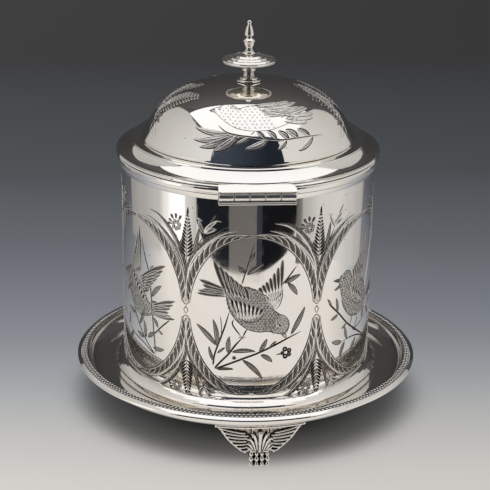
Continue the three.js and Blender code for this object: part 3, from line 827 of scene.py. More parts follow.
def upperSection(x):
    # Slopes from the nose up to the lid's edge, its far corner cut off on the right
    wire = -sqrt(hinge["lidWire"] ** 2 - x * x)
    lost = max(0.0, abs(x - 0.2) - hinge["cutStart"]) * hinge["cutSlope"] if x > 0 else 0.0
    back, top = -66.9 - lost, 148.15 - 0.36 * lost
    return [(-71.75, 145.2), (-71.98, 145.38), (-72.0, 145.72), (-71.8, 145.98), (back, top), (back, 147.3),
            (max(wire, back), 146.6), (max(wire, back), 145.85), (-69.5, 145.4)]


def lowerSection(x):
    # Cups the knuckles, with a lip of two reeds under them
    wall, cup, steps = -sqrt(hinge["wall"] ** 2 - x * x), hinge["cup"], hinge["cupSteps"]
    outline = [(wall, hinge["leafTop"]), (-67.5, hinge["leafTop"])]
    for k in range(steps + 1):
        turn = radians(hinge["cupStart"] - hinge["cupSweep"] * k / steps)
        outline.append((-hinge["away"] + cup * cos(turn), hinge["height"] + cup * sin(turn)))
    outline += [(-71.12, 140.72), (-71.2, 140.55), (-71.05, 139.98), (-70.75, 139.9), (-70.75, 139.8),
                (-71.02, 139.72), (-71.08, 139.55), (-70.95, 139.02), (-70.7, hinge["leafLow"])]
    return outline + [(wall, hinge["leafLow"])]


def alongHinge(outline, height, away, sides):
    # Turned about an axis that runs along X
    vertices, faces = turnedMesh(outline, sides)
    return [(z, -away + x, height - y) for x, y, z in vertices], faces


def makeHinge():
    half = hinge["length"] / 2
    hingeLeaf("hinge_upper_leaf", upperSection, "lid", "hinge_lid_leaf")
    hingeLeaf("hinge_lower_leaf", lowerSection, "barrel", "hinge_drum_leaf")
    pitch = hinge["length"] / 5
    for k in range(5):
        start = -half + pitch * k + hinge["gap"] / 2
        end = start + pitch - hinge["gap"]
        wide = hinge["knuckle"]
        vertices, faces = alongHinge(softOutline([
            (hinge["bore"], start, 0), (wide, start, 0.3), (wide, end, 0.3), (hinge["bore"], end, 0),
        ]), hinge["height"], hinge["away"], 48)
        body = "barrel" if k % 2 else "lid"
        obj = meshPiece(f"hinge_barrel_{k + 1}", vertices, faces, body, hingeSilver)
        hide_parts(f"hinge_knuckle_{k + 1}")


makeHinge()
print("hinge made")


# Engraving: drawn flat in millimetres (along, up), swept by Geometry Nodes, then laid on the silver.
# A line has two raised burrs and a dark valley, a hatch is a single fine cut, a tint is a matt ground.
engraving = {
    "line": [(-1, -0.12, 0.1), (-0.86, 0.2, 0), (-0.68, 0.1, 0.9), (0, 0.0, 1), (0.68, 0.1, 0.9),
             (0.86, 0.2, 0), (1, -0.12, 0.1)],
    "hatch": [(-1, -0.1, 1), (0, 0.24, 1), (1, -0.1, 1)],
    "ridge": [(-1, -0.1, 0.25), (-0.7, 0.26, 0), (0, 0.42, 0), (0.7, 0.26, 0), (1, -0.1, 0.25)],
    "tint": [(-1, -0.04, 0), (-0.9, 0.02, 0), (0.9, 0.02, 0), (1, -0.04, 0)],
    "lift": {"line": 0.034, "hatch": 0.036, "ridge": 0.034, "tint": 0.018},
    "step": 1.1,
}


def newArt():
    return {"line": [], "hatch": [], "ridge": [], "tint": []}


def mix(a, b, t):
    return Vector(a) * (1 - t) + Vector(b) * t


def curveThrough(points, step=None):
    step = step or engraving["step"]
    points = [Vector(p) for p in points]
    ends = [points[0] * 2 - points[1]] + points + [points[-1] * 2 - points[-2]]
    line = []
    for a, b, c, d in zip(ends, ends[1:], ends[2:], ends[3:]):
        count = max(2, int((c - b).length / step) + 1)
        for k in range(count):
            t = k / count
            line.append(0.5 * (2 * b + (c - a) * t + (2 * a - 5 * b + 4 * c - d) * t * t
                               + (3 * b - a - 3 * c + d) * t ** 3))
    line.append(points[-1])
    return line


def sideways(line, k):
    ahead = line[min(k + 1, len(line) - 1)] - line[max(k - 1, 0)]
    return Vector((-ahead.y, ahead.x)).normalized()


def cut(art, points, width=0.22, kind="line", taper=(0.2, 0.3), curved=True):
    line = curveThrough(points) if curved else [Vector(p) for p in points]
    widths = []
    for k in range(len(line)):
        t = k / (len(line) - 1)
        start = min(1, t / taper[0]) if taper[0] else 1
        end = min(1, (1 - t) / taper[1]) if taper[1] else 1
        widths.append(width * max(0.15, sqrt(start * end)))
    art[kind].append((line, widths))


def tint(art, line, widths, tone):
    art["tint"].append((line, widths, tone))


def blade(art, base, tip, bend, half, hatches=4, round=0.9, edge=0.25, full=0.45, tone=0.42, slant=0.16,
          outline="line"):
    # A leaf or feather: matt ground, two edges, a rib and slanting hatches
    base, tip = Vector(base), Vector(tip)
    ahead = tip - base
    across = Vector((-ahead.y, ahead.x)).normalized()
    middle = (base + tip) / 2 + across * bend
    count = max(5, int(ahead.length / 0.9))
    spine, wide = [], []
    for k in range(count + 1):
        t = k / count
        spine.append(base * (1 - t) ** 2 + middle * 2 * t * (1 - t) + tip * t * t)
        bulk = sin(pi * t ** (log(0.5) / log(full))) if 0 < t < 1 else 0
        wide.append(half * bulk ** round)
    left = [p + sideways(spine, k) * w for k, (p, w) in enumerate(zip(spine, wide))]
    right = [p - sideways(spine, k) * w for k, (p, w) in enumerate(zip(spine, wide))]
    if tone:
        tint(art, spine, [max(0.03, w * 0.95) for w in wide], tone)
    for side, kind in zip((left, right), outline if isinstance(outline, tuple) else (outline, outline)):
        cut(art, side, edge, kind, curved=False, taper=(0.1, 0.1))
    if half > 0.5 and hatches:
        cut(art, spine[: int(count * 0.85) + 1], edge * 0.7, "hatch", curved=False)
    for i in range(hatches):
        t = 0.12 + 0.62 * i / max(1, hatches - 1)
        k = int(t * count)
        j = min(count, k + max(1, int(slant * count)))
        for side in (left, right):
            cut(art, [spine[k], mix(spine[j], side[j], 0.8)], edge * 0.8, "hatch", curved=False)


def twig(art, points, width=0.4):
    cut(art, points, width * 1.15, taper=(0.04, 0.3))


def inside(polygon, p):
    hit = False
    for a, b in zip(polygon, polygon[1:] + polygon[:1]):
        if (a[1] > p[1]) != (b[1] > p[1]):
            if p[0] < (b[0] - a[0]) * (p[1] - a[1]) / (b[1] - a[1]) + a[0]:
                hit = not hit
    return hit


def shadeInside(art, polygon, spacing, half, lean=0.0, tone=0.1):
    # Parallel strokes across an outline
    c, s = cos(lean), sin(lean)
    turned = [(c * x + s * y, -s * x + c * y) for x, y in polygon]
    low, high = min(p[1] for p in turned), max(p[1] for p in turned)
    rows = max(1, int((high - low) / spacing))
    for i in range(rows):
        y = low + (high - low) * (i + 0.5) / rows
        hits = []
        for a, b in zip(turned, turned[1:] + turned[:1]):
            if (a[1] > y) != (b[1] > y):
                hits.append(a[0] + (b[0] - a[0]) * (y - a[1]) / (b[1] - a[1]))
        hits.sort()
        for start, end in zip(hits[::2], hits[1::2]):
            if end - start > 0.6:
                line = curveThrough([(c * x - s * y, s * x + c * y) for x in (start, end)], 1.6)
                tint(art, line, [half] * len(line), tone)


def ruffle(art, outline, flow, spacing=1.35, size=1.1, seed=1, width=0.26, jitter=0.25):
    # Small curved cuts like breast feathers, laid along the flow from place to place
    rng = random.Random(seed)
    xs, ys = [p[0] for p in outline], [p[1] for p in outline]
    row = 0
    y = min(ys)
    while y < max(ys):
        x = min(xs) + (row % 2) * spacing / 2
        while x < max(xs):
            spot = Vector((x + rng.uniform(-jitter, jitter), y + rng.uniform(-jitter, jitter)))
            if inside(outline, spot):
                turn = flow(spot) + rng.uniform(-jitter, jitter)
                ahead = Vector((cos(turn), sin(turn)))
                across = Vector((-ahead.y, ahead.x))
                reach = size * rng.uniform(0.8, 1.2)
                cut(art, [spot - ahead * reach * 0.5 + across * reach * 0.35, spot + ahead * reach * 0.15,
                          spot - ahead * reach * 0.5 - across * reach * 0.35], width, "hatch")
            x += spacing
        y += spacing * 0.8
        row += 1


def featherFan(art, tips, bases, half, hatches=5, bend=0.4, tone=0.85, edge=0.2, outline="ridge"):
    for tip, base in zip(tips, bases):
        blade(art, base, tip, bend, half, hatches, round=0.55, edge=edge, full=0.62, slant=0.1, tone=tone,
              outline=outline)


def ring(art, centre, radius, width=0.2, count=9, kind="line"):
    points = []
    for k in range(count + 1):
        turn = 2 * pi * k / count
        points.append(Vector((centre[0] + radius * cos(turn), centre[1] + radius * sin(turn))))
    cut(art, points, width, kind, curved=False, taper=(0, 0))


# Garlands and sprays. An oval's edge is drawn in four quarters, each from the joint to the tip.
oval = {
    "height": 79.5, "halfWidth": 32.1, "halfHeight": 41.0, "joint": 34.03, "band": 4.4, "leafStep": 4.2,
    "start": 5.5, "sweep": 84, "steps": 120, "firstTurn": -1.35,
}


def garland(art, sideSign, upSign):
    a, b = oval["halfWidth"], oval["halfHeight"]
    inner, outward = [], []
    for k in range(oval["steps"] + 1):
        turn = radians(oval["start"] + oval["sweep"] * k / oval["steps"])
        inner.append(Vector((a * cos(turn), b * sin(turn))))
        outward.append(Vector((b * cos(turn), a * sin(turn))).normalized())
    reach = [0.0]
    for p, q in zip(inner, inner[1:]):
        reach.append(reach[-1] + (q - p).length)
    total = reach[-1]

    def place(s, share):
        s = max(0, min(total, s))
        k = next(i for i in range(oval["steps"]) if reach[i + 1] >= s - 1e-9)
        t = (s - reach[k]) / (reach[k + 1] - reach[k])
        spot, out = mix(inner[k], inner[k + 1], t), mix(outward[k], outward[k + 1], t)
        wide = oval["band"] * min(1, 0.36 + s / 22) * min(1, 0.22 + (total - s) / 20)
        spot = spot + out * wide * share
        return Vector((sideSign * spot.x, upSign * spot.y))

    steps = int(total / 1.2)
    for share, width, kind in ((-0.1, 0.26, "line"), (0.02, 0.24, "ridge"), (0.98, 0.28, "ridge"),
                               (1.09, 0.24, "line")):
        cut(art, [place(total * k / steps, share) for k in range(steps + 1)], width, kind, curved=False,
            taper=(0.02, 0.05))
    lean = sideSign * upSign
    sides = ("line", "ridge") if lean > 0 else ("ridge", "line")
    s = 0.6
    while s < total - 4:
        long = 7.8 if s < total - 9 else total - s - 0.4
        root, tip = place(s, 0.08), place(s + long, 0.92)
        wide = (place(s + long / 2, 1) - place(s + long / 2, 0)).length
        blade(art, root, tip, -0.8 * lean, 0.26 * wide, 0, edge=0.27, tone=0.75, full=0.45, outline=sides)
        cut(art, [mix(root, tip, 0.15), mix(root, tip, 0.8)], 0.18, "hatch")
        s += oval["leafStep"]


def combFrond(art, points, half, side=-1):
    # A long frond: bright back edge, comb of short cuts on one side
    line = curveThrough(points, 1.5)
    count = len(line) - 1
    edge = []
    for k, p in enumerate(line):
        t = k / count
        bulk = half * sin(pi * min(1, t ** 0.8)) ** 0.7 if 0 < t < 1 else 0
        edge.append(p + sideways(line, k) * side * bulk)
    tint(art, [mix(p, q, 0.64) for p, q in zip(line, edge)],
         [max(0.03, (p - q).length * 0.36) for p, q in zip(line, edge)], 0.85)
    cut(art, line, 0.42, "ridge", curved=False, taper=(0.1, 0.15))
    cut(art, edge, 0.2, "line", curved=False)
    for k in range(2, count, 2):
        cut(art, [mix(line[k], edge[k], 0.2), mix(line[k + 1], edge[k + 1], 0.95)], 0.55, "ridge",
            taper=(0.1, 0.2), curved=False)


def fern(art, foot, tip, start, half, pairs=12, width=0.6, lean=1.0):
    # Dark drop-shaped leaflets in pairs on a thin stem
    foot, tip = Vector(foot), Vector(tip)
    ahead = tip - foot
    long = ahead.length
    ahead.normalize()
    across = Vector((-ahead.y, ahead.x))
    cut(art, [foot, tip], 0.16)
    for i in range(pairs):
        t = start + (0.97 - start) * i / (pairs - 1)
        reach = half * (1 - 0.88 * ((t - start) / (1 - start)) ** 1.3)
        spot = foot + ahead * long * t
        for side in (-1, 1):
            end = spot + across * side * reach + ahead * reach * lean
            near = spot + across * side * 0.25
            bowed = mix(near, end, 0.55) + across * side * reach * 0.1
            cut(art, [near, bowed, end], width * (0.55 + 0.45 * reach / half), taper=(0.5, 0.3))


def blossom(art, centre, size, petals=6, turn=0.3):
    ring(art, centre, size * 0.34, 0.24, 8)
    for k in range(petals):
        angle = turn + 2 * pi * k / petals
        ahead = Vector((cos(angle), sin(angle)))
        root, tip = Vector(centre) + ahead * size * 0.4, Vector(centre) + ahead * size
        blade(art, root, tip, 0, size * 0.22, 0, round=0.6, edge=0.26, full=0.6, tone=0.12)


def spray(art, up):
    # Fern, blossom, trumpet flower and long leaves that rise from a joint between two ovals
    part = newArt()
    cut(part, [(-1.9, 9.5), (-1.75, 5.5), (-1.1, 3.6), (0, 3.0), (1.1, 3.6), (1.75, 5.5), (1.9, 9.5)], 0.26)
    cut(part, [(-0.9, 8.5), (-0.7, 6), (0, 5.0), (0.7, 6), (0.9, 8.5)], 0.16)
    blade(part, (0.1, 8.5), (0.3, 21), 0, 0.6, 0, tone=0)
    for side in (-1, 1):
        combFrond(part, [(side * 0.8, 16), (side * 1.5, 21.5), (side * 3.4, 26.5), (side * 7, 31.8),
                         (side * 11.3, 36.4), (side * 16, 40.2), (side * 21, 42.8), (side * 26, 44.2)],
                  1.9, side=side)
    combFrond(part, [(-0.5, 20), (-1.8, 26), (-4, 31), (-7.8, 37.4), (-12.3, 42.6), (-17.5, 46.2),
                     (-23.5, 47.8)], 2.2, side=-1)
    cut(part, [(0.8, 20), (4.6, 31), (10, 38.6), (16, 42.4), (22.5, 46.5)], 0.2)
    fern(part, (0.1, 19), (1.1, 50), 0.3, 3.7, 12, width=0.85)
    cut(part, [(1.0, 49), (1.15, 51.5), (1.3, 54)], 0.7, taper=(0.4, 0.6))
    twig(part, [(-0.4, 22), (-2.6, 29), (-4.6, 34.5), (-5.3, 39)], 0.22)
    blade(part, (-3.6, 31.5), (-2.9, 36.5), -0.3, 0.45, 0)
    heart = Vector((-5.4, 43.6))
    blossom(part, heart, 3.0, 7, 0.2)
    for degrees, near, far, half in ((62, 3.0, 6.2, 0.5), (92, 3.0, 6.2, 0.5), (122, 3.0, 6.2, 0.5),
                                     (152, 2.9, 5.2, 0.45), (176, 2.9, 5.2, 0.45)):
        ahead = Vector((cos(radians(degrees)), sin(radians(degrees))))
        blade(part, heart + ahead * near, heart + ahead * far, 0, half, 0, full=0.6, tone=0.9)
    blade(part, (1.4, 21), (7.6, 45.5), -1.0, 1.0, 6)
    twig(part, [(0.9, 19), (3.2, 27), (6.4, 34.6), (9.2, 39.6), (10.2, 42)], 0.26)
    for tip, bend, half, tone in (((7.4, 48.8), 1.5, 0.8, 0.3), ((16.6, 48.6), 1.7, 0.75, 0.3),
                                  ((16.2, 44.4), 1.1, 0.95, 0.6), ((12.4, 46.2), 0.4, 0.6, 0.3)):
        blade(part, (10.2, 41.6), tip, bend, half, 1, edge=0.32, tone=tone, outline="ridge")
    cut(part, [(9.0, 47.6), (7.4, 48.9), (5.6, 48.6)], 0.36, "ridge")
    cut(part, [(14.6, 47.6), (16.6, 48.8), (18.6, 48.2)], 0.36, "ridge")
    twig(part, [(13, 47.5), (14.6, 49.8), (16.2, 52)], 0.26)
    blade(part, (6.0, 33), (11.5, 36.2), -0.6, 0.7, 3)
    for kind in part:
        for line, *rest in part[kind]:
            art[kind].append(([Vector((p.x, p.y * (1 if up else -0.96))) for p in line], *rest))


def shifted(art, along):
    step = Vector((along, 0))
    return {kind: [([p + step for p in line], *rest) for line, *rest in art[kind]] for kind in art}


def leaves(art, rows):
    for base, tip, bend, half, hatches in rows:
        blade(art, base, tip, bend, half, hatches)


def leg(art, start, knee, foot, width, toes):
    cut(art, [start, knee, foot], width)
    for x, y in toes:
        cut(art, [foot, (foot[0] + x, foot[1] + y)], 0.2)


def coverts(art, first, last, reach):
    # Six short feathers in a row over the roots of a wing's long ones
    for k in range(6):
        root = mix(Vector(first), Vector(last), k / 5)
        blade(art, root + Vector(reach), root, 0.2, 1.1, 2, round=0.7, full=0.66, tone=0.9, outline="ridge")


# Three pictures of small birds on twigs. Heights are counted from the middle of the oval.
def divingBird(art):
    twig(art, [(-18.4, -29.4), (-11, -25.9), (-3.6, -22.6), (3.3, -19.8), (17.7, -13.2), (25.4, -10.2)], 0.5)
    twig(art, [(-18.6, -29.0), (-15, -24.6), (-11.6, -20.8), (-8, -15.6), (-4.2, -11)], 0.5)
    twig(art, [(-19.4, -27.6), (-18.4, -21), (-15.4, -12), (-13, -4.5), (-11.2, 2.2)], 0.46)
    twig(art, [(-15.2, -11.4), (-15.2, -5), (-15.9, -0.4)], 0.22)
    leaves(art, (
        ((-17.8, -16.6), (-28.2, -6.2), -1.1, 1.15, 6), ((-17.4, -17.4), (-19.5, -2.6), -1.6, 1.1, 6),
        ((-18.6, -25.6), (-21.5, -17.4), 1.0, 0.7, 3), ((-17.2, -20.8), (-13.2, -17.2), 0.2, 0.45, 2),
        ((-17.2, -29.6), (-8.8, -28.8), 0.8, 0.6, 3), ((-11.6, -20.4), (-11.2, -11.2), 0.6, 1.05, 4),
        ((-9.8, -19.6), (1.9, -19.0), 1.5, 1.0, 6), ((3.8, -19.4), (7.6, -12.3), -0.4, 0.95, 4),
        ((8.8, -17.4), (12.4, -13.8), 0.2, 0.45, 2), ((4.4, -20.9), (10.4, -25.2), 1.1, 1.05, 4),
        ((-4.6, -23.6), (5.5, -34), 1.6, 1.1, 6), ((19.8, -11.2), (27.2, 2.7), -0.6, 1.15, 7),
        ((-2.6, 21.6), (5.6, 27.2), 0.9, 1.1, 5), ((-3.4, 22.2), (-7.4, 26.2), -0.6, 0.7, 2),
        ((16.2, 16.4), (24.4, 20.2), 0.7, 1.1, 4), ((17.6, 16.4), (22.8, 9.4), 1.0, 1.1, 4),
        ((-2, 28.4), (0.9, 33.5), -1.0, 0.5, 2),
    ))
    twig(art, [(-5.2, 16.8), (-3.6, 22.5), (-1.6, 29.5), (0.9, 38.4)], 0.34)
    ring(art, (-5.4, 24.2), 1.25, 0.2, 8)
    twig(art, [(14.6, 15.6), (18, 19.6), (22.2, 25)], 0.36)
    ring(art, (-8.7, -22.6), 0.75, 0.34, 7)
    ring(art, (-8.7, -22.6), 0.3, 0.4, 6)
    for turn, size in ((0.55, 1.1), (1.9, 1.2), (3.2, 0.85), (4.5, 1.25), (5.7, 1.0)):
        ring(art, (17.4 + 1.9 * cos(turn), -20.6 + 2.0 * sin(turn)), 0.72 * size, 0.62, 8)
    twig(art, [(12.4, -21.4), (15.4, -20.8)], 0.34)
    body = [(-13, 12.6), (-8, 13.6), (-4, 15.4), (0, 14.4), (4, 12.6), (7.4, 9.4), (9.6, 5.6), (11, 2.4),
            (13.4, 0.4), (16, -0.6), (18, -2.8), (18.8, -5.8), (17.9, -8.8), (16.2, -10.4), (12.4, -9.8),
            (8, -8.4), (3.6, -8.6), (-1.4, -7.4), (-5.6, -4.6), (-9.2, -0.6), (-11.4, 3.6), (-12.4, 8)]
    shadeInside(art, body, 0.95, 0.52, lean=-0.7)
    cut(art, [*body[6:16], *body[16:22]], 0.24, taper=(0.02, 0.02))
    cut(art, body[1:7], 0.22)
    pad = [(-11.4, 10.4), (-8, 10.8), (-4, 9.6), (0, 8), (4, 6.2), (6, 3.4), (5.4, 0.2), (3, -2.4),
           (-0.4, -3.4), (-4.4, -2.4), (-8, 1), (-10.4, 5)]

    def overBack(p):
        return -0.75 if p.x < 8 else -0.4

    breast = [spot for spot in body if spot[0] < 13.6]
    ruffle(art, breast, overBack, 1.7, 1.75, 3, width=0.22)
    ruffle(art, body[7:17], overBack, 1.15, 0.8, 5, width=0.14)
    cut(art, [(11.6, -8.6), (12.2, -5), (11.4, -1.4)], 0.2, "ridge")
    ring(art, (13.9, -5.6), 0.3, 0.36, 7)
    ring(art, (13.9, -5.6), 1.0, 0.36, 9, "ridge")
    blade(art, (15.2, -9.4), (17.3, -13.2), 0.5, 0.8, 0, edge=0.22, tone=0.1)
    cut(art, [(14.4, -9.8), (15.6, -11.4), (17.2, -13.2)], 0.24)
    # far wing, raised to the right
    tips = [(14.8, 29), (12.6, 25.2), (10.6, 22.4), (8.7, 19.9), (6.8, 17.9), (5, 16.4), (3.2, 15)]
    bases = [(14.4, 12.8), (13, 12.4), (11.6, 12), (10.2, 11.8), (8.8, 11.7), (7.2, 11.6), (5.4, 12)]
    featherFan(art, tips, bases, 0.95, 7, 0.2)
    for k in range(6):
        blade(art, (11 + 0.3 * k, 3.4 + 0.5 * k), (6.4 + 1.6 * k, 11.4 + 0.35 * k), 0.3, 0.9, 0, edge=0.24,
              tone=0, outline="ridge")
        cut(art, [(10.4 + 0.5 * k, 6.4 + 0.4 * k), (7 + 1.5 * k, 10.6 + 0.35 * k)], 0.4, taper=(0.6, 0.3))
    cut(art, [(14.9, 14), (14.9, 9.4), (13.4, 5), (11.2, 2.6)], 0.26)
    # near wing, raised to the left, with long flight feathers
    tips = [(-19.2, 28.2), (-16.2, 25.6), (-13.6, 23.2), (-11.2, 21), (-8.9, 18.8), (-6.7, 17), (-4.6, 15.6)]
    bases = [(-12.2, 9.2), (-10.4, 9.6), (-8.6, 9.4), (-6.8, 9), (-5, 8.6), (-3.2, 8.2), (-1.4, 7.8)]
    featherFan(art, tips, bases, 1.2, 8, -0.5)
    cut(art, [(-19.4, 28.4), (-16.4, 20), (-13.6, 13), (-12.6, 8.4), (-12.4, 5)], 0.3)
    # scalloped coverts with bright tips
    for k in range(8):
        t = k / 7
        root = Vector((-10.6 + 15.6 * t, 9.6 - 5.4 * t ** 1.3))
        tip = Vector((-6.6 + 9.2 * t, 0.6 - 3.2 * sin(pi * (0.25 + 0.6 * t))))
        blade(art, tip, root, 0.3 - 0.6 * t, 1.2, 0, round=0.7, edge=0.38, full=0.7, tone=0, outline="ridge")
        tint(art, [mix(tip, root, 0.34), mix(tip, root, 0.65), mix(tip, root, 0.93)], [0.2, 0.8, 0.6], 0.95)
        for side in (-0.4, 0, 0.4):
            cut(art, [mix(tip, root, 0.9) + Vector((side, side * 0.4)), mix(tip, root, 0.34)], 0.2, "hatch")
    cut(art, pad[5:] + pad[:1], 0.24)
    # tail
    featherFan(art, [(-26.6, 17.4), (-25, 14.9)], [(-13.2, 13.8), (-13, 12.8)], 1.0, 8, 0.3)
    featherFan(art, [(-28, 10.2), (-27.4, 11.7), (-25, 12.6)], [(-12.6, 9.9), (-12.6, 11), (-13, 12)], 0.85,
               8, -0.2)
    # legs and claws
    toes = ((-1.6, -0.9), (0.3, -1.7), (1.5, -0.4))
    leg(art, (-9, -2), (-9.6, -4.8), (-5.4, -11), 0.42, toes)
    leg(art, (-2.4, -7), (-3.4, -8.8), (-4.4, -11), 0.42, toes)


def singingBird(art):
    twig(art, [(-26.4, 1), (-19, -6.2), (-12, -13.4), (-3.6, -19.6), (9.6, -28)], 0.5)
    twig(art, [(9.8, -28.4), (0, -24), (-8.5, -22.2), (-16, -22.6)], 0.36)
    twig(art, [(-5, -18.6), (3, -17), (11, -12), (20, -10.6)], 0.34)
    leaves(art, (
        ((-20, -5.4), (-21.2, 2.8), -0.7, 0.75, 3), ((-19.6, -6.4), (-24.8, -8.4), 0.5, 0.8, 3),
        ((-12.4, -13), (-16.4, -15.4), 0.4, 0.5, 2), ((-2, -20.4), (-7.4, -17.4), 0.3, 0.6, 2),
        ((-11.6, -22.2), (-13.8, -14.6), 0.7, 0.9, 4), ((-16, -22.6), (-23.6, -20.6), 0.6, 1.15, 4),
        ((-13.4, -23), (-17.4, -31), -0.9, 1.1, 5), ((-2.8, -24.2), (-8.6, -31.4), -0.7, 1.0, 4),
        ((4, -17.2), (6.6, -9.4), 0.6, 1.0, 4), ((11, -12.2), (16.6, -17.4), -0.6, 1.0, 4),
        ((14, -11.4), (18, -5.2), 0.5, 0.9, 4), ((20, -10.6), (26.4, -8.2), 0.5, 1.0, 4),
        ((-24.4, -0.8), (-27.4, 3.8), -0.3, 0.5, 2), ((6, -26), (13.4, -24), 0.7, 0.9, 4),
    ))
    body = [(-16.8, 14.4), (-13.8, 15.6), (-10.6, 14.4), (-8.8, 11), (-4.4, 9.8), (0.6, 8), (5.6, 3.4),
            (8, -2), (7.4, -7.4), (3, -10.8), (-3, -11.6), (-8.8, -10.2), (-13, -7), (-15.8, -2.8), (-17, 2),
            (-18, 6), (-19.2, 9.4), (-19.4, 12.2)]
    shadeInside(art, body, 0.95, 0.52, lean=0.9, tone=0.22)
    cut(art, [*body, body[0]], 0.24, taper=(0.02, 0.02))
    ruffle(art, body, lambda p: 0.9 if p.y > -6 else 0.3, 2.0, 1.9, 7)
    cut(art, [(-8.8, 11), (-9.8, 5), (-7.6, -1), (-2, -5), (5, -7)], 0.32, "ridge")
    cut(art, [(-9.3, 10.6), (-10.3, 5), (-8.1, -1.4), (-2.4, -5.5), (5, -7.6)], 0.24)
    blade(art, (-18.6, 11.2), (-23.6, 12.4), -0.5, 0.75, 0, edge=0.3, full=0.3, tone=0.9)
    blade(art, (-18.2, 9.2), (-22.8, 7.2), 0.5, 0.65, 0, edge=0.3, full=0.3, tone=0.9)
    ring(art, (-15.8, 12), 0.4, 0.34, 7)
    tips = [(9.4, 32.6), (7, 29.4), (4.4, 26.4), (1.8, 23.4), (-1, 20.4), (-3.8, 17.8), (-6.2, 15.6)]
    bases = [(1.6, 6.4), (0, 6.6), (-1.6, 7), (-3.2, 7.6), (-4.6, 8.2), (-6, 9), (-7.4, 9.8)]
    featherFan(art, tips, bases, 1.2, 8, 0.7)
    tips = [(20.6, 29.4), (19.2, 25.6), (17.6, 22), (15.8, 18.4), (13.8, 15), (11.6, 11.8)]
    bases = [(6, 2.8), (6, 2.2), (6.2, 1.6), (6.4, 1), (6.6, 0.4), (6.8, -0.2)]
    featherFan(art, tips, bases, 1.25, 8, -0.9)
    coverts(art, (-6.4, 5.8), (3.2, -1.0), (-1.6, -5.2))
    featherFan(art, [(25.8, -5.6), (26.6, -3.4), (26.2, -1.2)], [(7.4, -5.8), (7.8, -4.8), (8, -3.6)], 1.0,
               8, 0.3)
    toes = ((-1.6, 0.6), (-0.8, -1.2), (1.4, -1.2))
    leg(art, (-7.6, -10.4), (-7.8, -12.6), (-9.4, -14.8), 0.28, toes)
    leg(art, (-2.2, -11.4), (-2.4, -14.7), (-4.6, -18), 0.28, toes)


def climbingBird(art):
    twig(art, [(14.6, -29), (12.9, -14), (11.6, 0), (10, 13), (6.4, 22), (3.6, 31.6)], 0.42)
    twig(art, [(13.4, -18.6), (19.4, -12.4), (25.6, -6.8)], 0.4)
    twig(art, [(13.8, -29.6), (5.6, -22.6), (-3, -12), (-7.6, -1.4), (-9.8, 6)], 0.38)
    twig(art, [(13, -29.4), (4, -25.6), (-6, -23.4), (-16.4, -17)], 0.34)
    leaves(art, (
        ((11.8, 1.4), (19, 9.2), 1.2, 1.15, 5), ((12, -1), (16.6, -0.6), -0.7, 0.6, 2),
        ((13, -9.6), (16.4, -14.4), 0.8, 0.9, 3), ((12.8, -8.6), (15.2, -4.2), -0.5, 0.6, 2),
        ((13.6, -18), (8.4, -22), -0.8, 1.05, 4), ((16.6, -15.6), (19.6, -17.2), 0.3, 0.5, 2),
        ((9.6, 14.2), (13, 18.6), -0.4, 0.5, 2), ((5.6, -22.4), (-1.6, -21.6), 0.8, 1.0, 4),
        ((6.4, -22.8), (5, -13.4), -0.9, 1.05, 5), ((1, -16.6), (5.8, -6), -1.1, 1.0, 5),
        ((-3.4, -12), (-11, -10.8), 0.8, 1.1, 4), ((-6, -23.2), (-11.4, -29), 0.7, 1.0, 4),
        ((-10.4, -21.2), (-10.6, -14), 0.6, 1.0, 4), ((-16.4, -17), (-22.4, -11.6), 0.6, 1.0, 4),
        ((-8.6, 2), (-14.4, -2.8), 0.6, 0.9, 3), ((12.6, -26), (20.6, -25), -1.0, 1.0, 4),
    ))
    ring(art, (12.4, 16.8), 0.8, 0.26, 7)
    body = [(-10.6, 11), (-7.4, 12.2), (-3, 9.6), (1.4, 6.6), (5.6, 2), (9.4, -2.4), (13, -4.4), (11.6, -8.2),
            (6.4, -10.4), (0.4, -10.8), (-4.6, -8.4), (-8.6, -3.4), (-11.6, 1.8), (-14.4, 5), (-14.6, 8.8)]
    shadeInside(art, body, 0.95, 0.52, lean=-0.8, tone=0.22)
    cut(art, [*body, body[0]], 0.24, taper=(0.02, 0.02))
    ruffle(art, body, lambda p: -0.8, 2.0, 1.9, 5)
    blade(art, (-13.6, 7.4), (-17.8, 7.4), 0, 0.7, 0)
    ring(art, (-11.6, 8.4), 0.55, 0.22, 7)
    tips = [(1.4, 36.4), (-0.4, 32.8), (-2, 29), (-3.4, 25.2), (-4.6, 21.4), (-5.6, 17.8), (-6.4, 15)]
    bases = [(2.6, 9), (1.6, 8.8), (0.6, 8.8), (-0.6, 9), (-1.8, 9.4), (-3, 10), (-4.2, 10.6)]
    featherFan(art, tips, bases, 1.2, 8, -0.5)
    tips = [(21.6, 20.4), (20, 17.4), (18, 14.8), (15.8, 12.2), (13.6, 9.8), (11.6, 7.4), (10, 5)]
    bases = [(1.4, 8.6), (1.8, 7.4), (2.2, 6.2), (2.8, 5), (3.4, 4), (4.2, 3), (5, 2)]
    featherFan(art, tips, bases, 1.3, 8, 0.8)
    coverts(art, (-3.4, 9.6), (5.6, 0.8), (-2.4, -4.4))
    featherFan(art, [(27.8, 3), (26.4, 0.6), (24.8, -1.6)], [(11.4, -3.4), (11.4, -4.6), (11.6, -5.4)], 1.05,
               8, 0.4)
    featherFan(art, [(27.4, -6.8), (25, -5.8), (23.6, -4)], [(11, -7.8), (11.2, -7), (11.6, -6.2)], 1.05,
               8, -0.3)
    cut(art, [(-3.4, -9.4), (-4.6, -13), (-1.2, -14.4)], 0.28)
    cut(art, [(1.8, -10.6), (2.6, -13.6), (0.4, -15.4)], 0.28)


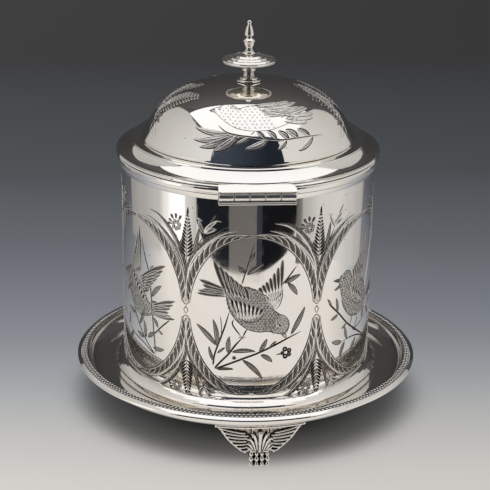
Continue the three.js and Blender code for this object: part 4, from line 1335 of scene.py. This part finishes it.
def strokeProfile(kind):
    mesh = bpy.data.meshes.new("profile_" + kind)
    points = engraving[kind]
    count = len(points)
    mesh.from_pydata([(x, -y, 0) for x, y, depth in points], [(k, (k + 1) % count) for k in range(count)], [])
    setAttribute(mesh, "cut", [depth for x, y, depth in points])
    return newObject("profile_" + kind, mesh)


def engravingTree():
    tree, given = nodesTree("engraved strokes", (
        ("Strokes", "Geometry"), ("Profile", "Object"), ("Finish", "Material"),
    ))
    path = addNode(tree, "GeometryNodeMeshToCurve", {"Mesh": given["Strokes"]})
    flat = addNode(tree, "GeometryNodeSetCurveNormal", {"Curve": path.outputs[0]}, mode="Z_UP")
    source = addNode(tree, "GeometryNodeObjectInfo", {"Object": given["Profile"]})
    section = addNode(tree, "GeometryNodeMeshToCurve", {"Mesh": source.outputs["Geometry"]})
    width = addNode(tree, "GeometryNodeInputNamedAttribute", {"Name": "halfWidth"})
    sweep = addNode(tree, "GeometryNodeCurveToMesh", {
        "Curve": flat.outputs[0], "Profile Curve": section.outputs[0], "Scale": width.outputs["Attribute"],
        "Fill Caps": True,
    })
    return endTree(tree, sweep.outputs[0], given["Finish"])


strokesTree = engravingTree()
profiles = {kind: strokeProfile(kind) for kind in ("line", "hatch", "ridge", "tint")}


def sweptStrokes(kind, strokes, material):
    mesh = bpy.data.meshes.new("strokes")
    points, edges, widths, tones = [], [], [], []
    for line, halfWidths, *tone in strokes:
        first = len(points)
        tones += (tone or [0.0]) * len(line)
        points += [(p.x, p.y, 0) for p in line]
        edges += [(first + k, first + k + 1) for k in range(len(line) - 1)]
        widths += halfWidths
    mesh.from_pydata(points, edges, [])
    setAttribute(mesh, "halfWidth", widths)
    setAttribute(mesh, "tone", tones)
    return nodesMesh(strokesTree, mesh, {"Profile": profiles[kind], "Finish": material})


def engrave(name, art, body, lay):
    # lay(along, up, lift) gives the place on the silver for a point of the flat drawing
    vertices, faces, finish, depth, tones = [], [], [], [], []
    for kind in ("line", "hatch", "ridge", "tint"):
        if not art[kind]:
            continue
        mesh = sweptStrokes(kind, art[kind], cutSilver)
        lift = engraving["lift"][kind]
        laid = [lay(v.co.x, v.co.y, v.co.z + lift) for v in mesh.vertices]
        gather(vertices, faces, laid, [face.vertices for face in mesh.polygons])
        finish += [1 if kind == "tint" else 0] * len(mesh.polygons)
        depth += [d.value for d in mesh.attributes["cut"].data]
        tones += [d.value for d in mesh.attributes["tone"].data]
    obj = meshPiece(name, vertices, faces, body, cutSilver)
    obj.data.materials.append(mattSilver)
    obj.data.polygons.foreach_set("material_index", finish)
    setAttribute(obj.data, "cut", depth)
    setAttribute(obj.data, "tone", tones)
    return obj


def onDrum(middle):
    def lay(along, up, lift):
        turn = radians(middle) + along / drum["radius"]
        r = drum["radius"] + lift
        return (r * sin(turn), -r * cos(turn), oval["height"] + up)
    return lay


def frond(art, spine, half, count, tone=-0.1, lean=0.9):
    # A curved fern with close leaflets on both sides
    line = curveThrough(spine, 0.6)
    last = len(line) - 1
    cut(art, line, 0.2, "ridge", curved=False, taper=(0.05, 0.3))
    for i in range(count):
        t = (i + 0.5) / count
        k = int(t * last)
        ahead = (line[min(k + 1, last)] - line[max(k - 1, 0)]).normalized()
        across = Vector((-ahead.y, ahead.x))
        reach = half * min(1, 0.45 + 2.2 * t) * min(1, 0.35 + 2.0 * (1 - t))
        for side in (-1, 1):
            tip = line[k] + (across * side + ahead * lean) * reach * 0.8
            blade(art, line[k], tip, 0.35 * side, 0.6, 0, edge=0.17, tone=tone, outline="ridge")


domeArtLeaves = [
    ((-10, 15.8), (-27.4, 17.0), 1.6, 1.3), ((-8.6, 15.4), (-28.2, 10.8), 2.4, 1.5),
    ((-7.2, 15.2), (-24.8, 7.5), 2.8, 1.5), ((-5.2, 15.0), (-17.4, 6.4), 2.4, 1.6),
    ((9.6, 13.0), (-1.2, 8.4), 1.8, 1.4), ((0.8, 14.4), (-5.6, 11.0), 0.9, 0.9),
    ((19.2, 12.1), (14.6, 7.4), 0.9, 0.9), ((34.6, 11.8), (25.8, 6.0), 1.2, 1.3),
    ((8.0, 13.6), (3.8, 17.6), -0.7, 0.8), ((14.0, 12.9), (9.0, 17.9), -0.9, 0.9),
    ((20.4, 12.4), (14.6, 17.2), -1.0, 1.0), ((25.4, 12.6), (18.4, 17.6), -1.2, 1.2),
    ((32.6, 12.3), (25.0, 17.1), -1.2, 0.8),
]


def domeArt():
    art = newArt()
    stem = [(-14.8, 19.9), (-10.8, 16.7), (-5.3, 15.4), (0.8, 14.7), (6.3, 13.7), (12.6, 12.9), (18.3, 12.4),
            (24.6, 12.5), (31.9, 12.3), (41.0, 11.6)]
    cut(art, stem, 0.42, taper=(0.1, 0.4))
    cut(art, [(x, y - 0.55) for x, y in stem], 0.2, "ridge")
    for base, tip, bend, half in domeArtLeaves:
        side = ("line", "ridge") if bend > 0 else ("ridge", "line")
        # Leaves over the dome's dark reflection get a lighter matt tone, a painted highlight; the others a
        # darker one
        paintedBrightOverDark = abs(tip[0] - 3) < 9 and tip[1] < 12
        tone = -0.12 if paintedBrightOverDark else 0.12
        blade(art, base, tip, bend, half * 1.05, 1, edge=0.38, tone=tone, outline=side)
    cut(art, [(-2.2, 14.6), (-6.0, 12.4), (-9.0, 8.6)], 0.26)
    ring(art, (-9.3, 7.9), 0.7, 0.26)
    cut(art, [(1.2, 15.7), (3.2, 17.3)], 0.25)
    body = [(-19.8, 28.0), (-17.4, 29.9), (-14.7, 31.4), (-12.3, 33.4), (-9.3, 34.1), (-6.8, 33.0),
            (-4.4, 31.4), (-1.1, 33.2), (3.7, 34.0), (7.7, 33.0), (14.1, 29.8), (18.4, 27.2), (23.0, 25.7),
            (27.4, 24.4), (22.7, 21.6), (15.8, 19.4), (10.7, 18.0), (2.4, 17.7), (-4.7, 18.7), (-9.4, 20.9),
            (-13.5, 24.1), (-16.9, 27.0)]
    cut(art, body + body[:1], 0.16, taper=(0, 0))
    breast = [(p.x, p.y) for p in curveThrough(body + body[:1]) if p.x < 13]
    ruffle(art, breast, lambda spot: pi + 0.5 * sin(0.6 * spot.x), 2.4, 1.7, 11, width=0.1)
    blade(art, (-16.6, 28.4), (-20.2, 27.9), 0.1, 0.8, 0, edge=0.18, tone=0.1)
    ring(art, (-14.6, 30.0), 0.5, 0.16)
    for k in range(6):
        cut(art, [(-9.4 + 0.9 * k, 33.6 - 0.3 * k), (-8.2 + 0.9 * k, 30.6 - 0.2 * k)], 0.12, "hatch")
    for tips, bases, half, bend in (
        ([(16.2, 34.0), (21.6, 34.6), (26.0, 32.8)], [(2.0, 34.0), (4.0, 32.2), (5.2, 30.2)], 1.35, 0.5),
        ([(23.4, 29.6), (27.8, 29.2), (31.6, 28.4), (33.4, 27.3)],
         [(6.4, 29.4), (7.0, 28.2), (7.8, 26.9), (9.6, 25.6)], 1.2, 0.6),
        ([(36.4, 23.4), (36.0, 21.2), (31.8, 19.6)], [(19.0, 25.2), (18.6, 23.6), (18.0, 22.0)], 1.2, 0.3),
    ):
        featherFan(art, tips, bases, half, 0, bend, -0.1, 0.22, ("ridge", "line"))
    for k in range(9):
        ring(art, (14.5 + 1.3 * k, 26.0 - 0.5 * k + 1.1 * (k % 2)), 0.5, 0.16)
    frond(art, [(-66, 16.2), (-61, 19.4), (-54.2, 23.4), (-47.3, 27.6), (-40.7, 31.2), (-34.7, 33.8),
                (-28.7, 35.6)], 4.6, 15)
    frond(art, [(-67.5, 12.6), (-67.4, 18.4), (-63.4, 25.0), (-56.0, 31.6), (-46.4, 38.0)], 3.6, 13)
    frond(art, [(66.0, 9.6), (62.6, 16.4), (58.2, 23.6), (51.6, 31.0), (44.6, 37.4), (36.4, 43.0)], 3.4, 14)
    frond(art, [(62.0, 15.0), (56.4, 21.4), (49.8, 27.8), (42.4, 33.4)], 2.8, 9)
    for x, y in ((41.8, 31.0), (44.8, 29.4), (44.0, 35.4), (48.0, 25.8), (39.8, 34.2)):
        ring(art, (x, y), 0.9, 0.28)
    for side in (-1, 1):
        blossom(art, (side * 65.5, 14.6), 2.6)
        for root, tip in (((62.6, 14.6), (55.4, 16.8)), ((62.6, 13.8), (56.4, 13.0))):
            blade(art, (side * root[0], root[1]), (side * tip[0], tip[1]), 0.6, 0.95, 1, edge=0.22, tone=0.3)
        for path in ([(64.0, 12.6), (60.2, 11.4), (58.6, 8.6), (56.0, 6.4)],
                     [(64.4, 12.4), (62.6, 9.6), (60.4, 6.0)], [(66.0, 12.2), (66.8, 8.8), (65.2, 5.2)]):
            cut(art, [(side * x, y) for x, y in path], 0.22)
    return art


def onDome(middle):
    # Up is measured along the dome's curve from its base
    steps = 240
    reached = [0.0]
    for k in range(steps):
        reached.append(reached[-1] + (domePoint((k + 1) / steps) - domePoint(k / steps)).length)

    def lay(along, up, lift):
        low, high = 0, steps
        while high - low > 1:
            middleStep = (low + high) // 2
            if reached[middleStep] < up:
                low = middleStep
            else:
                high = middleStep
        t = (low + (up - reached[low]) / (reached[high] - reached[low])) / steps
        here = domePoint(t)
        ahead = (domePoint(min(1, t + 0.01)) - domePoint(max(0, t - 0.01))).normalized()
        r, z = here.x + ahead.y * lift, here.y - ahead.x * lift
        turn = radians(middle) + along / here.x
        return (r * sin(turn), -r * cos(turn), z)
    return lay


def engraveDome():
    for name, middle in (("front", -4), ("back", 176)):
        obj = engrave(f"dome_engraving_{name}", domeArt(), "lid", onDome(middle))
        print("engraved dome", name, len(obj.data.polygons), "faces")


def engraveDrum():
    pictures = (divingBird, singingBird, divingBird, singingBird, climbingBird, climbingBird)
    for k, picture in enumerate(pictures):
        art = newArt()
        picture(art)
        for sideSign in (-1, 1):
            for upSign in (-1, 1):
                garland(art, sideSign, upSign)
        joint = newArt()
        spray(joint, True)
        spray(joint, False)
        cut(joint, [(0, 2.0), (1.2, 0), (0, -2.0), (-1.2, 0), (0, 2.0)], 0.24, curved=False, taper=(0, 0))
        joint = shifted(joint, oval["joint"])
        for kind in art:
            art[kind] += joint[kind]
        middle = oval["firstTurn"] + 360 / len(pictures) * k
        obj = engrave(f"drum_engraving_{k + 1}", art, "barrel", onDrum(middle))
        print("engraved panel", k + 1, len(obj.data.polygons), "faces")


engraveDrum()
engraveDome()


for names, material in ((("drum_floor", "lid_bezel"), innerSilver),
                        (("finial_stud", "finial_washer", "finial_nut", "hinge_pin"), brass)):
    for name in names:
        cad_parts[name].data.materials.clear()
        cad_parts[name].data.materials.append(material)

# Stage, in metres: paper painted darker towards the back and lighter again far up, with a painted shadow
# under the tray, a dark table in front of it with two grey stripes, two curved white boards and a top lamp
stage = {
    "frontTurn": -4, "front": [(-90, 1.2), (-60, 0.62), (-45, 0.44), (-33, 0.368), (-16, 0.332), (0, 0.327),
                               (16, 0.333), (33, 0.368), (45, 0.44), (60, 0.62), (90, 1.2)],
    "halfWidth": 1.3, "back": 1.5, "bend": 0.5, "wall": 2.2, "shadowMiddle": (0.002, 0.024, 0),
    "table": (-2.5, 0.2, -0.02), "boardSteps": 4, "boardTones": {"left": (0.72, 0.48), "right": (0.7, 0.5)},
    "lamp": {"middle": (0.04, 0.0, 0.92), "width": 1.3, "height": 0.95, "aim": (0.04, 0, 0), "strength": 0.98},
    # The paper's painted tone by depth, and the painted shadow under the tray by distance from shadowMiddle
    "paper": [(-0.6, (0.68, 0.65, 0.62)), (-0.09, (0.65, 0.625, 0.595)), (-0.03, (0.52, 0.515, 0.5)),
              (0.03, (0.365, 0.38, 0.395)), (0.09, (0.255, 0.27, 0.295)), (0.15, (0.2, 0.21, 0.235)),
              (0.26, (0.135, 0.14, 0.16)), (0.42, (0.08, 0.088, 0.095)), (0.8, (0.05, 0.05, 0.052)),
              (2.0, (0.058, 0.057, 0.058)), (3.7, (0.142, 0.135, 0.128))],
    "shadow": [(0.03, 0.015), (0.052, 0.03), (0.066, 0.1), (0.078, 0.18), (0.082, 0.235), (0.086, 0.34),
               (0.09, 0.5), (0.094, 0.7), (0.098, 0.88), (0.102, 0.96), (0.108, 1.0)],
    "leftBoard": [(-45.7, 0, 0.5, 0.34), (-60, 0, 0.52, 0.34), (-80, 0, 0.53, 0.34), (-100, 0, 0.54, 0.34),
                  (-116, 0, 0.52, 0.34), (-122, 0, 0.5, 0.34), (-128, 0.07, 0.48, 0.34),
                  (-134, 0.15, 0.43, 0.34), (-140, 0.22, 0.37, 0.34)],
    "rightBoard": [(36.5, 0, 0.5, 0.34), (60, 0, 0.5, 0.335), (75, 0, 0.505, 0.323), (88, 0, 0.49, 0.305),
                   (96, 0, 0.48, 0.297), (106, 0, 0.47, 0.292), (110, 0, 0.47, 0.29), (115, 0.06, 0.46, 0.29),
                   (123, 0.15, 0.43, 0.29), (129, 0.24, 0.37, 0.29)],
    "leftGlow": [(46, 0.5), (51, 0.62), (55, 0.64), (57.5, 1.2), (68, 1.2), (75, 0.85), (84, 0.5),
                 (105, 0.38), (122, 0.3)],
    "rightGlow": [(36.5, 0.12), (38.5, 0.14), (40.5, 0.19), (43, 0.45), (60, 0.62), (78, 0.64), (92, 0.54),
                  (105, 0.44), (118, 0.32)],
    "stripe": [(-0.12, -0.36), (0.026, -0.36), (0.047, -0.62), (-0.218, -0.62)],
    "thinStripe": [(0.029, -0.36), (0.053, -0.36), (0.094, -0.62), (0.052, -0.62)],
}


def glowMaterial(name, depthStops, shown=0.88, mirrored=1.08):
    # Paper that the camera and the silver see at a painted tone, with a painted shadow of the tray and painted
    # shading from side to side, and that still takes some real light
    material, tree, shader = newMaterial(name)
    place = objectPlace(tree)
    parts = addNode(tree, "ShaderNodeSeparateXYZ", {"Vector": place})
    x, y, z = (parts.outputs[axis] for axis in "XYZ")
    away = addMath(tree, "ADD", y, z)
    # Painted light and shade: darker towards the back, lighter again far up
    low, high = depthStops[0][0], depthStops[-1][0]
    stops = [((depth - low) / (high - low), colour) for depth, colour in depthStops]
    colour = ramp(tree, mapRange(tree, away, low, high), stops, "LINEAR")
    # Painted shadow of the tray, round a point a little behind the axis
    middle = addNode(tree, "ShaderNodeVectorMath", {0: place, 1: stage["shadowMiddle"]}, operation="SUBTRACT")
    reach = addNode(tree, "ShaderNodeVectorMath", {0: middle.outputs[0]}, operation="LENGTH").outputs["Value"]
    under = ramp(tree, reach, stage["shadow"], "LINEAR")
    # Painted shading: the paper darker towards +X
    slant = addMath(tree, "MULTIPLY_ADD", x, -0.42, 1.0)
    lit = addMath(tree, "MULTIPLY", under, slant)
    tone = mixColour(tree, 1.0, colour, lit, "MULTIPLY")
    path = addNode(tree, "ShaderNodeLightPath")
    seen = addMath(tree, "MULTIPLY", path.outputs["Is Camera Ray"], shown)
    even = addMath(tree, "DIVIDE", mirrored, slant)
    # Painted shade in the silver: the paper looks darker there further back
    dimmed = addMath(tree, "MULTIPLY", even, mapRange(tree, away, 0.05, 0.3, 1.0, 0.7))
    strength = addMath(tree, "MULTIPLY_ADD", path.outputs["Is Glossy Ray"], dimmed, seen)
    light = addNode(tree, "ShaderNodeEmission", {"Color": tone, "Strength": strength})
    soft = mixColour(tree, 0.8, tone, (0, 0, 0, 1))
    fillNode(tree, shader, {"Base Color": soft, "Roughness": 0.8, "Specular IOR Level": 0.0})
    both = addNode(tree, "ShaderNodeAddShader", {0: light.outputs[0], 1: shader.outputs[0]})
    fillNode(tree, tree.nodes["Material Output"], {"Surface": both.outputs[0]})
    return material


def stageMesh(name, vertices, faces, material, seen=True):
    mesh = bpy.data.meshes.new(name)
    mesh.from_pydata(vertices, [], faces)
    mesh.polygons.foreach_set("use_smooth", [True] * len(faces))
    mesh.materials.append(material)
    obj = newObject(name, mesh)
    obj.visible_camera = seen


def makeStage():
    bend, back = stage["bend"], stage["back"]
    vertices, faces = [], []
    for turn, reach in stage["front"]:
        a = radians(turn + stage["frontTurn"])
        x = min(stage["halfWidth"], max(-stage["halfWidth"], reach * sin(a)))
        vertices.append((x, -reach * cos(a), 0))
    rows = [(0.3, 0.0), (back - bend, 0.0)]
    steps = 12
    for k in range(1, steps + 1):
        turn = pi / 2 * k / steps
        rows.append((back - bend + bend * sin(turn), bend * (1 - cos(turn))))
    rows.append((back, stage["wall"]))
    columns = len(vertices)
    for y, z in rows:
        vertices += [(vertices[k][0], y, z) for k in range(columns)]
    for i in range(len(rows)):
        for k in range(columns - 1):
            a = i * columns + k
            faces.append([a, a + 1, a + 1 + columns, a + columns])
    stageMesh("paper_sweep", vertices, faces, glowMaterial("stage paper", stage["paper"]))
    material, tree, shader = newMaterial("stage table")
    x = addNode(tree, "ShaderNodeSeparateXYZ", {"Vector": objectPlace(tree)}).outputs["X"]
    along = mapRange(tree, x, -0.15, 0.05)
    # Painted shade: the table darker towards +X
    dark = ramp(tree, along, [(0.0, (0.014, 0.018, 0.03)), (1.0, (0.003, 0.003, 0.006))])
    fillNode(tree, shader, {"Base Color": dark, "Roughness": 0.8})
    wide, near, far, low = stage["halfWidth"], *stage["table"]
    corners = ((-wide, near), (wide, near), (wide, far), (-wide, far))
    stageMesh("dark_table", [(x, y, low) for x, y in corners], [[0, 1, 2, 3]], material)
    for name, colour in (("stripe", (0.5, 0.465, 0.435, 1)), ("thinStripe", (0.1, 0.115, 0.15, 1))):
        material, tree, shader = newMaterial("stage " + name)
        fillNode(tree, shader, {"Base Color": colour, "Roughness": 0.8})
        stageMesh(name, [(x, y, low + 0.001) for x, y in stage[name]], [[3, 2, 1, 0]], material)


def boardMaterial(name, glow, near, far):
    # Glow of a white board: uneven along its lower part, calmer higher up
    material, tree, shader = newMaterial(name)
    parts = addNode(tree, "ShaderNodeSeparateXYZ", {"Vector": objectPlace(tree)})
    angle = addMath(tree, "ABSOLUTE", addMath(tree, "ARCTAN2", parts.outputs["X"],
                                              addMath(tree, "MULTIPLY", parts.outputs["Y"], -1.0)))
    turned = addMath(tree, "DIVIDE", angle, pi)
    lower = ramp(tree, turned, [(turn / 180, tone) for turn, tone in glow])
    upper = ramp(tree, turned, [(0.32, near), (0.73, far)], "LINEAR")
    tone = mixColour(tree, mapRange(tree, parts.outputs["Z"], 0.1, 0.2), lower, upper)
    fillNode(tree, shader, {
        "Base Color": (0, 0, 0, 1), "Specular IOR Level": 0.0, "Emission Color": (1, 0.985, 0.955, 1),
        "Emission Strength": tone,
    })
    return material


def makeBoards():
    # Each station is (angle from -Y towards +X, foot, top, distance)
    steps = stage["boardSteps"]
    for name, (near, far) in stage["boardTones"].items():
        vertices, faces = [], []
        outline = stage[name + "Board"]
        for start, end in zip(outline, outline[1:]):
            for k in range(steps + 1 if end == outline[-1] else steps):
                turn, low, high, away = (p + (q - p) * k / steps for p, q in zip(start, end))
                a = radians(turn)
                vertices += [(away * sin(a), -away * cos(a), z) for z in (low, high)]
        for k in range(len(vertices) // 2 - 1):
            faces.append([2 * k, 2 * k + 1, 2 * k + 3, 2 * k + 2])
        material = boardMaterial(name + " board", stage[name + "Glow"], near, far)
        stageMesh(name + "_board", vertices, faces, material, seen=False)


def addLamp(name, middle, width, height, aim, strength):
    # A soft lamp that shows in the silver as an evenly lit panel of the given strength
    data = bpy.data.lights.new(name, "AREA")
    data.shape = "RECTANGLE"
    data.size = width
    data.size_y = height
    data.energy = strength * pi * width * height
    obj = newObject(name, data)
    obj.location = middle
    obj.rotation_euler = (Vector(aim) - Vector(middle)).to_track_quat("-Z", "Y").to_euler()
    obj.visible_camera = False


def makeWorld():
    # Dim room: navy in front, grey behind
    world = bpy.data.worlds.new("dim studio")
    bpy.context.scene.world = world
    world.use_nodes = True
    tree = world.node_tree
    toward = addNode(tree, "ShaderNodeTexCoord").outputs["Generated"]
    parts = addNode(tree, "ShaderNodeSeparateXYZ", {"Vector": toward})
    side = mapRange(tree, parts.outputs["X"], -0.4, 0.25)
    front = ramp(tree, side, [(0.0, (0.045, 0.056, 0.075)), (1.0, (0.014, 0.018, 0.028))], "LINEAR")
    behind = mapRange(tree, parts.outputs["Y"], -0.25, 0.2)
    colour = mixColour(tree, behind, front, (0.075, 0.077, 0.08, 1))
    fillNode(tree, tree.nodes["Background"], {"Color": colour, "Strength": 1})


for profile in profiles.values():
    bpy.data.objects.remove(profile)
makeStage()
makeBoards()
addLamp("top_lamp", **stage["lamp"])
makeWorld()
bpy.context.scene.view_settings.view_transform = "Standard"
print("stage and lamps set")
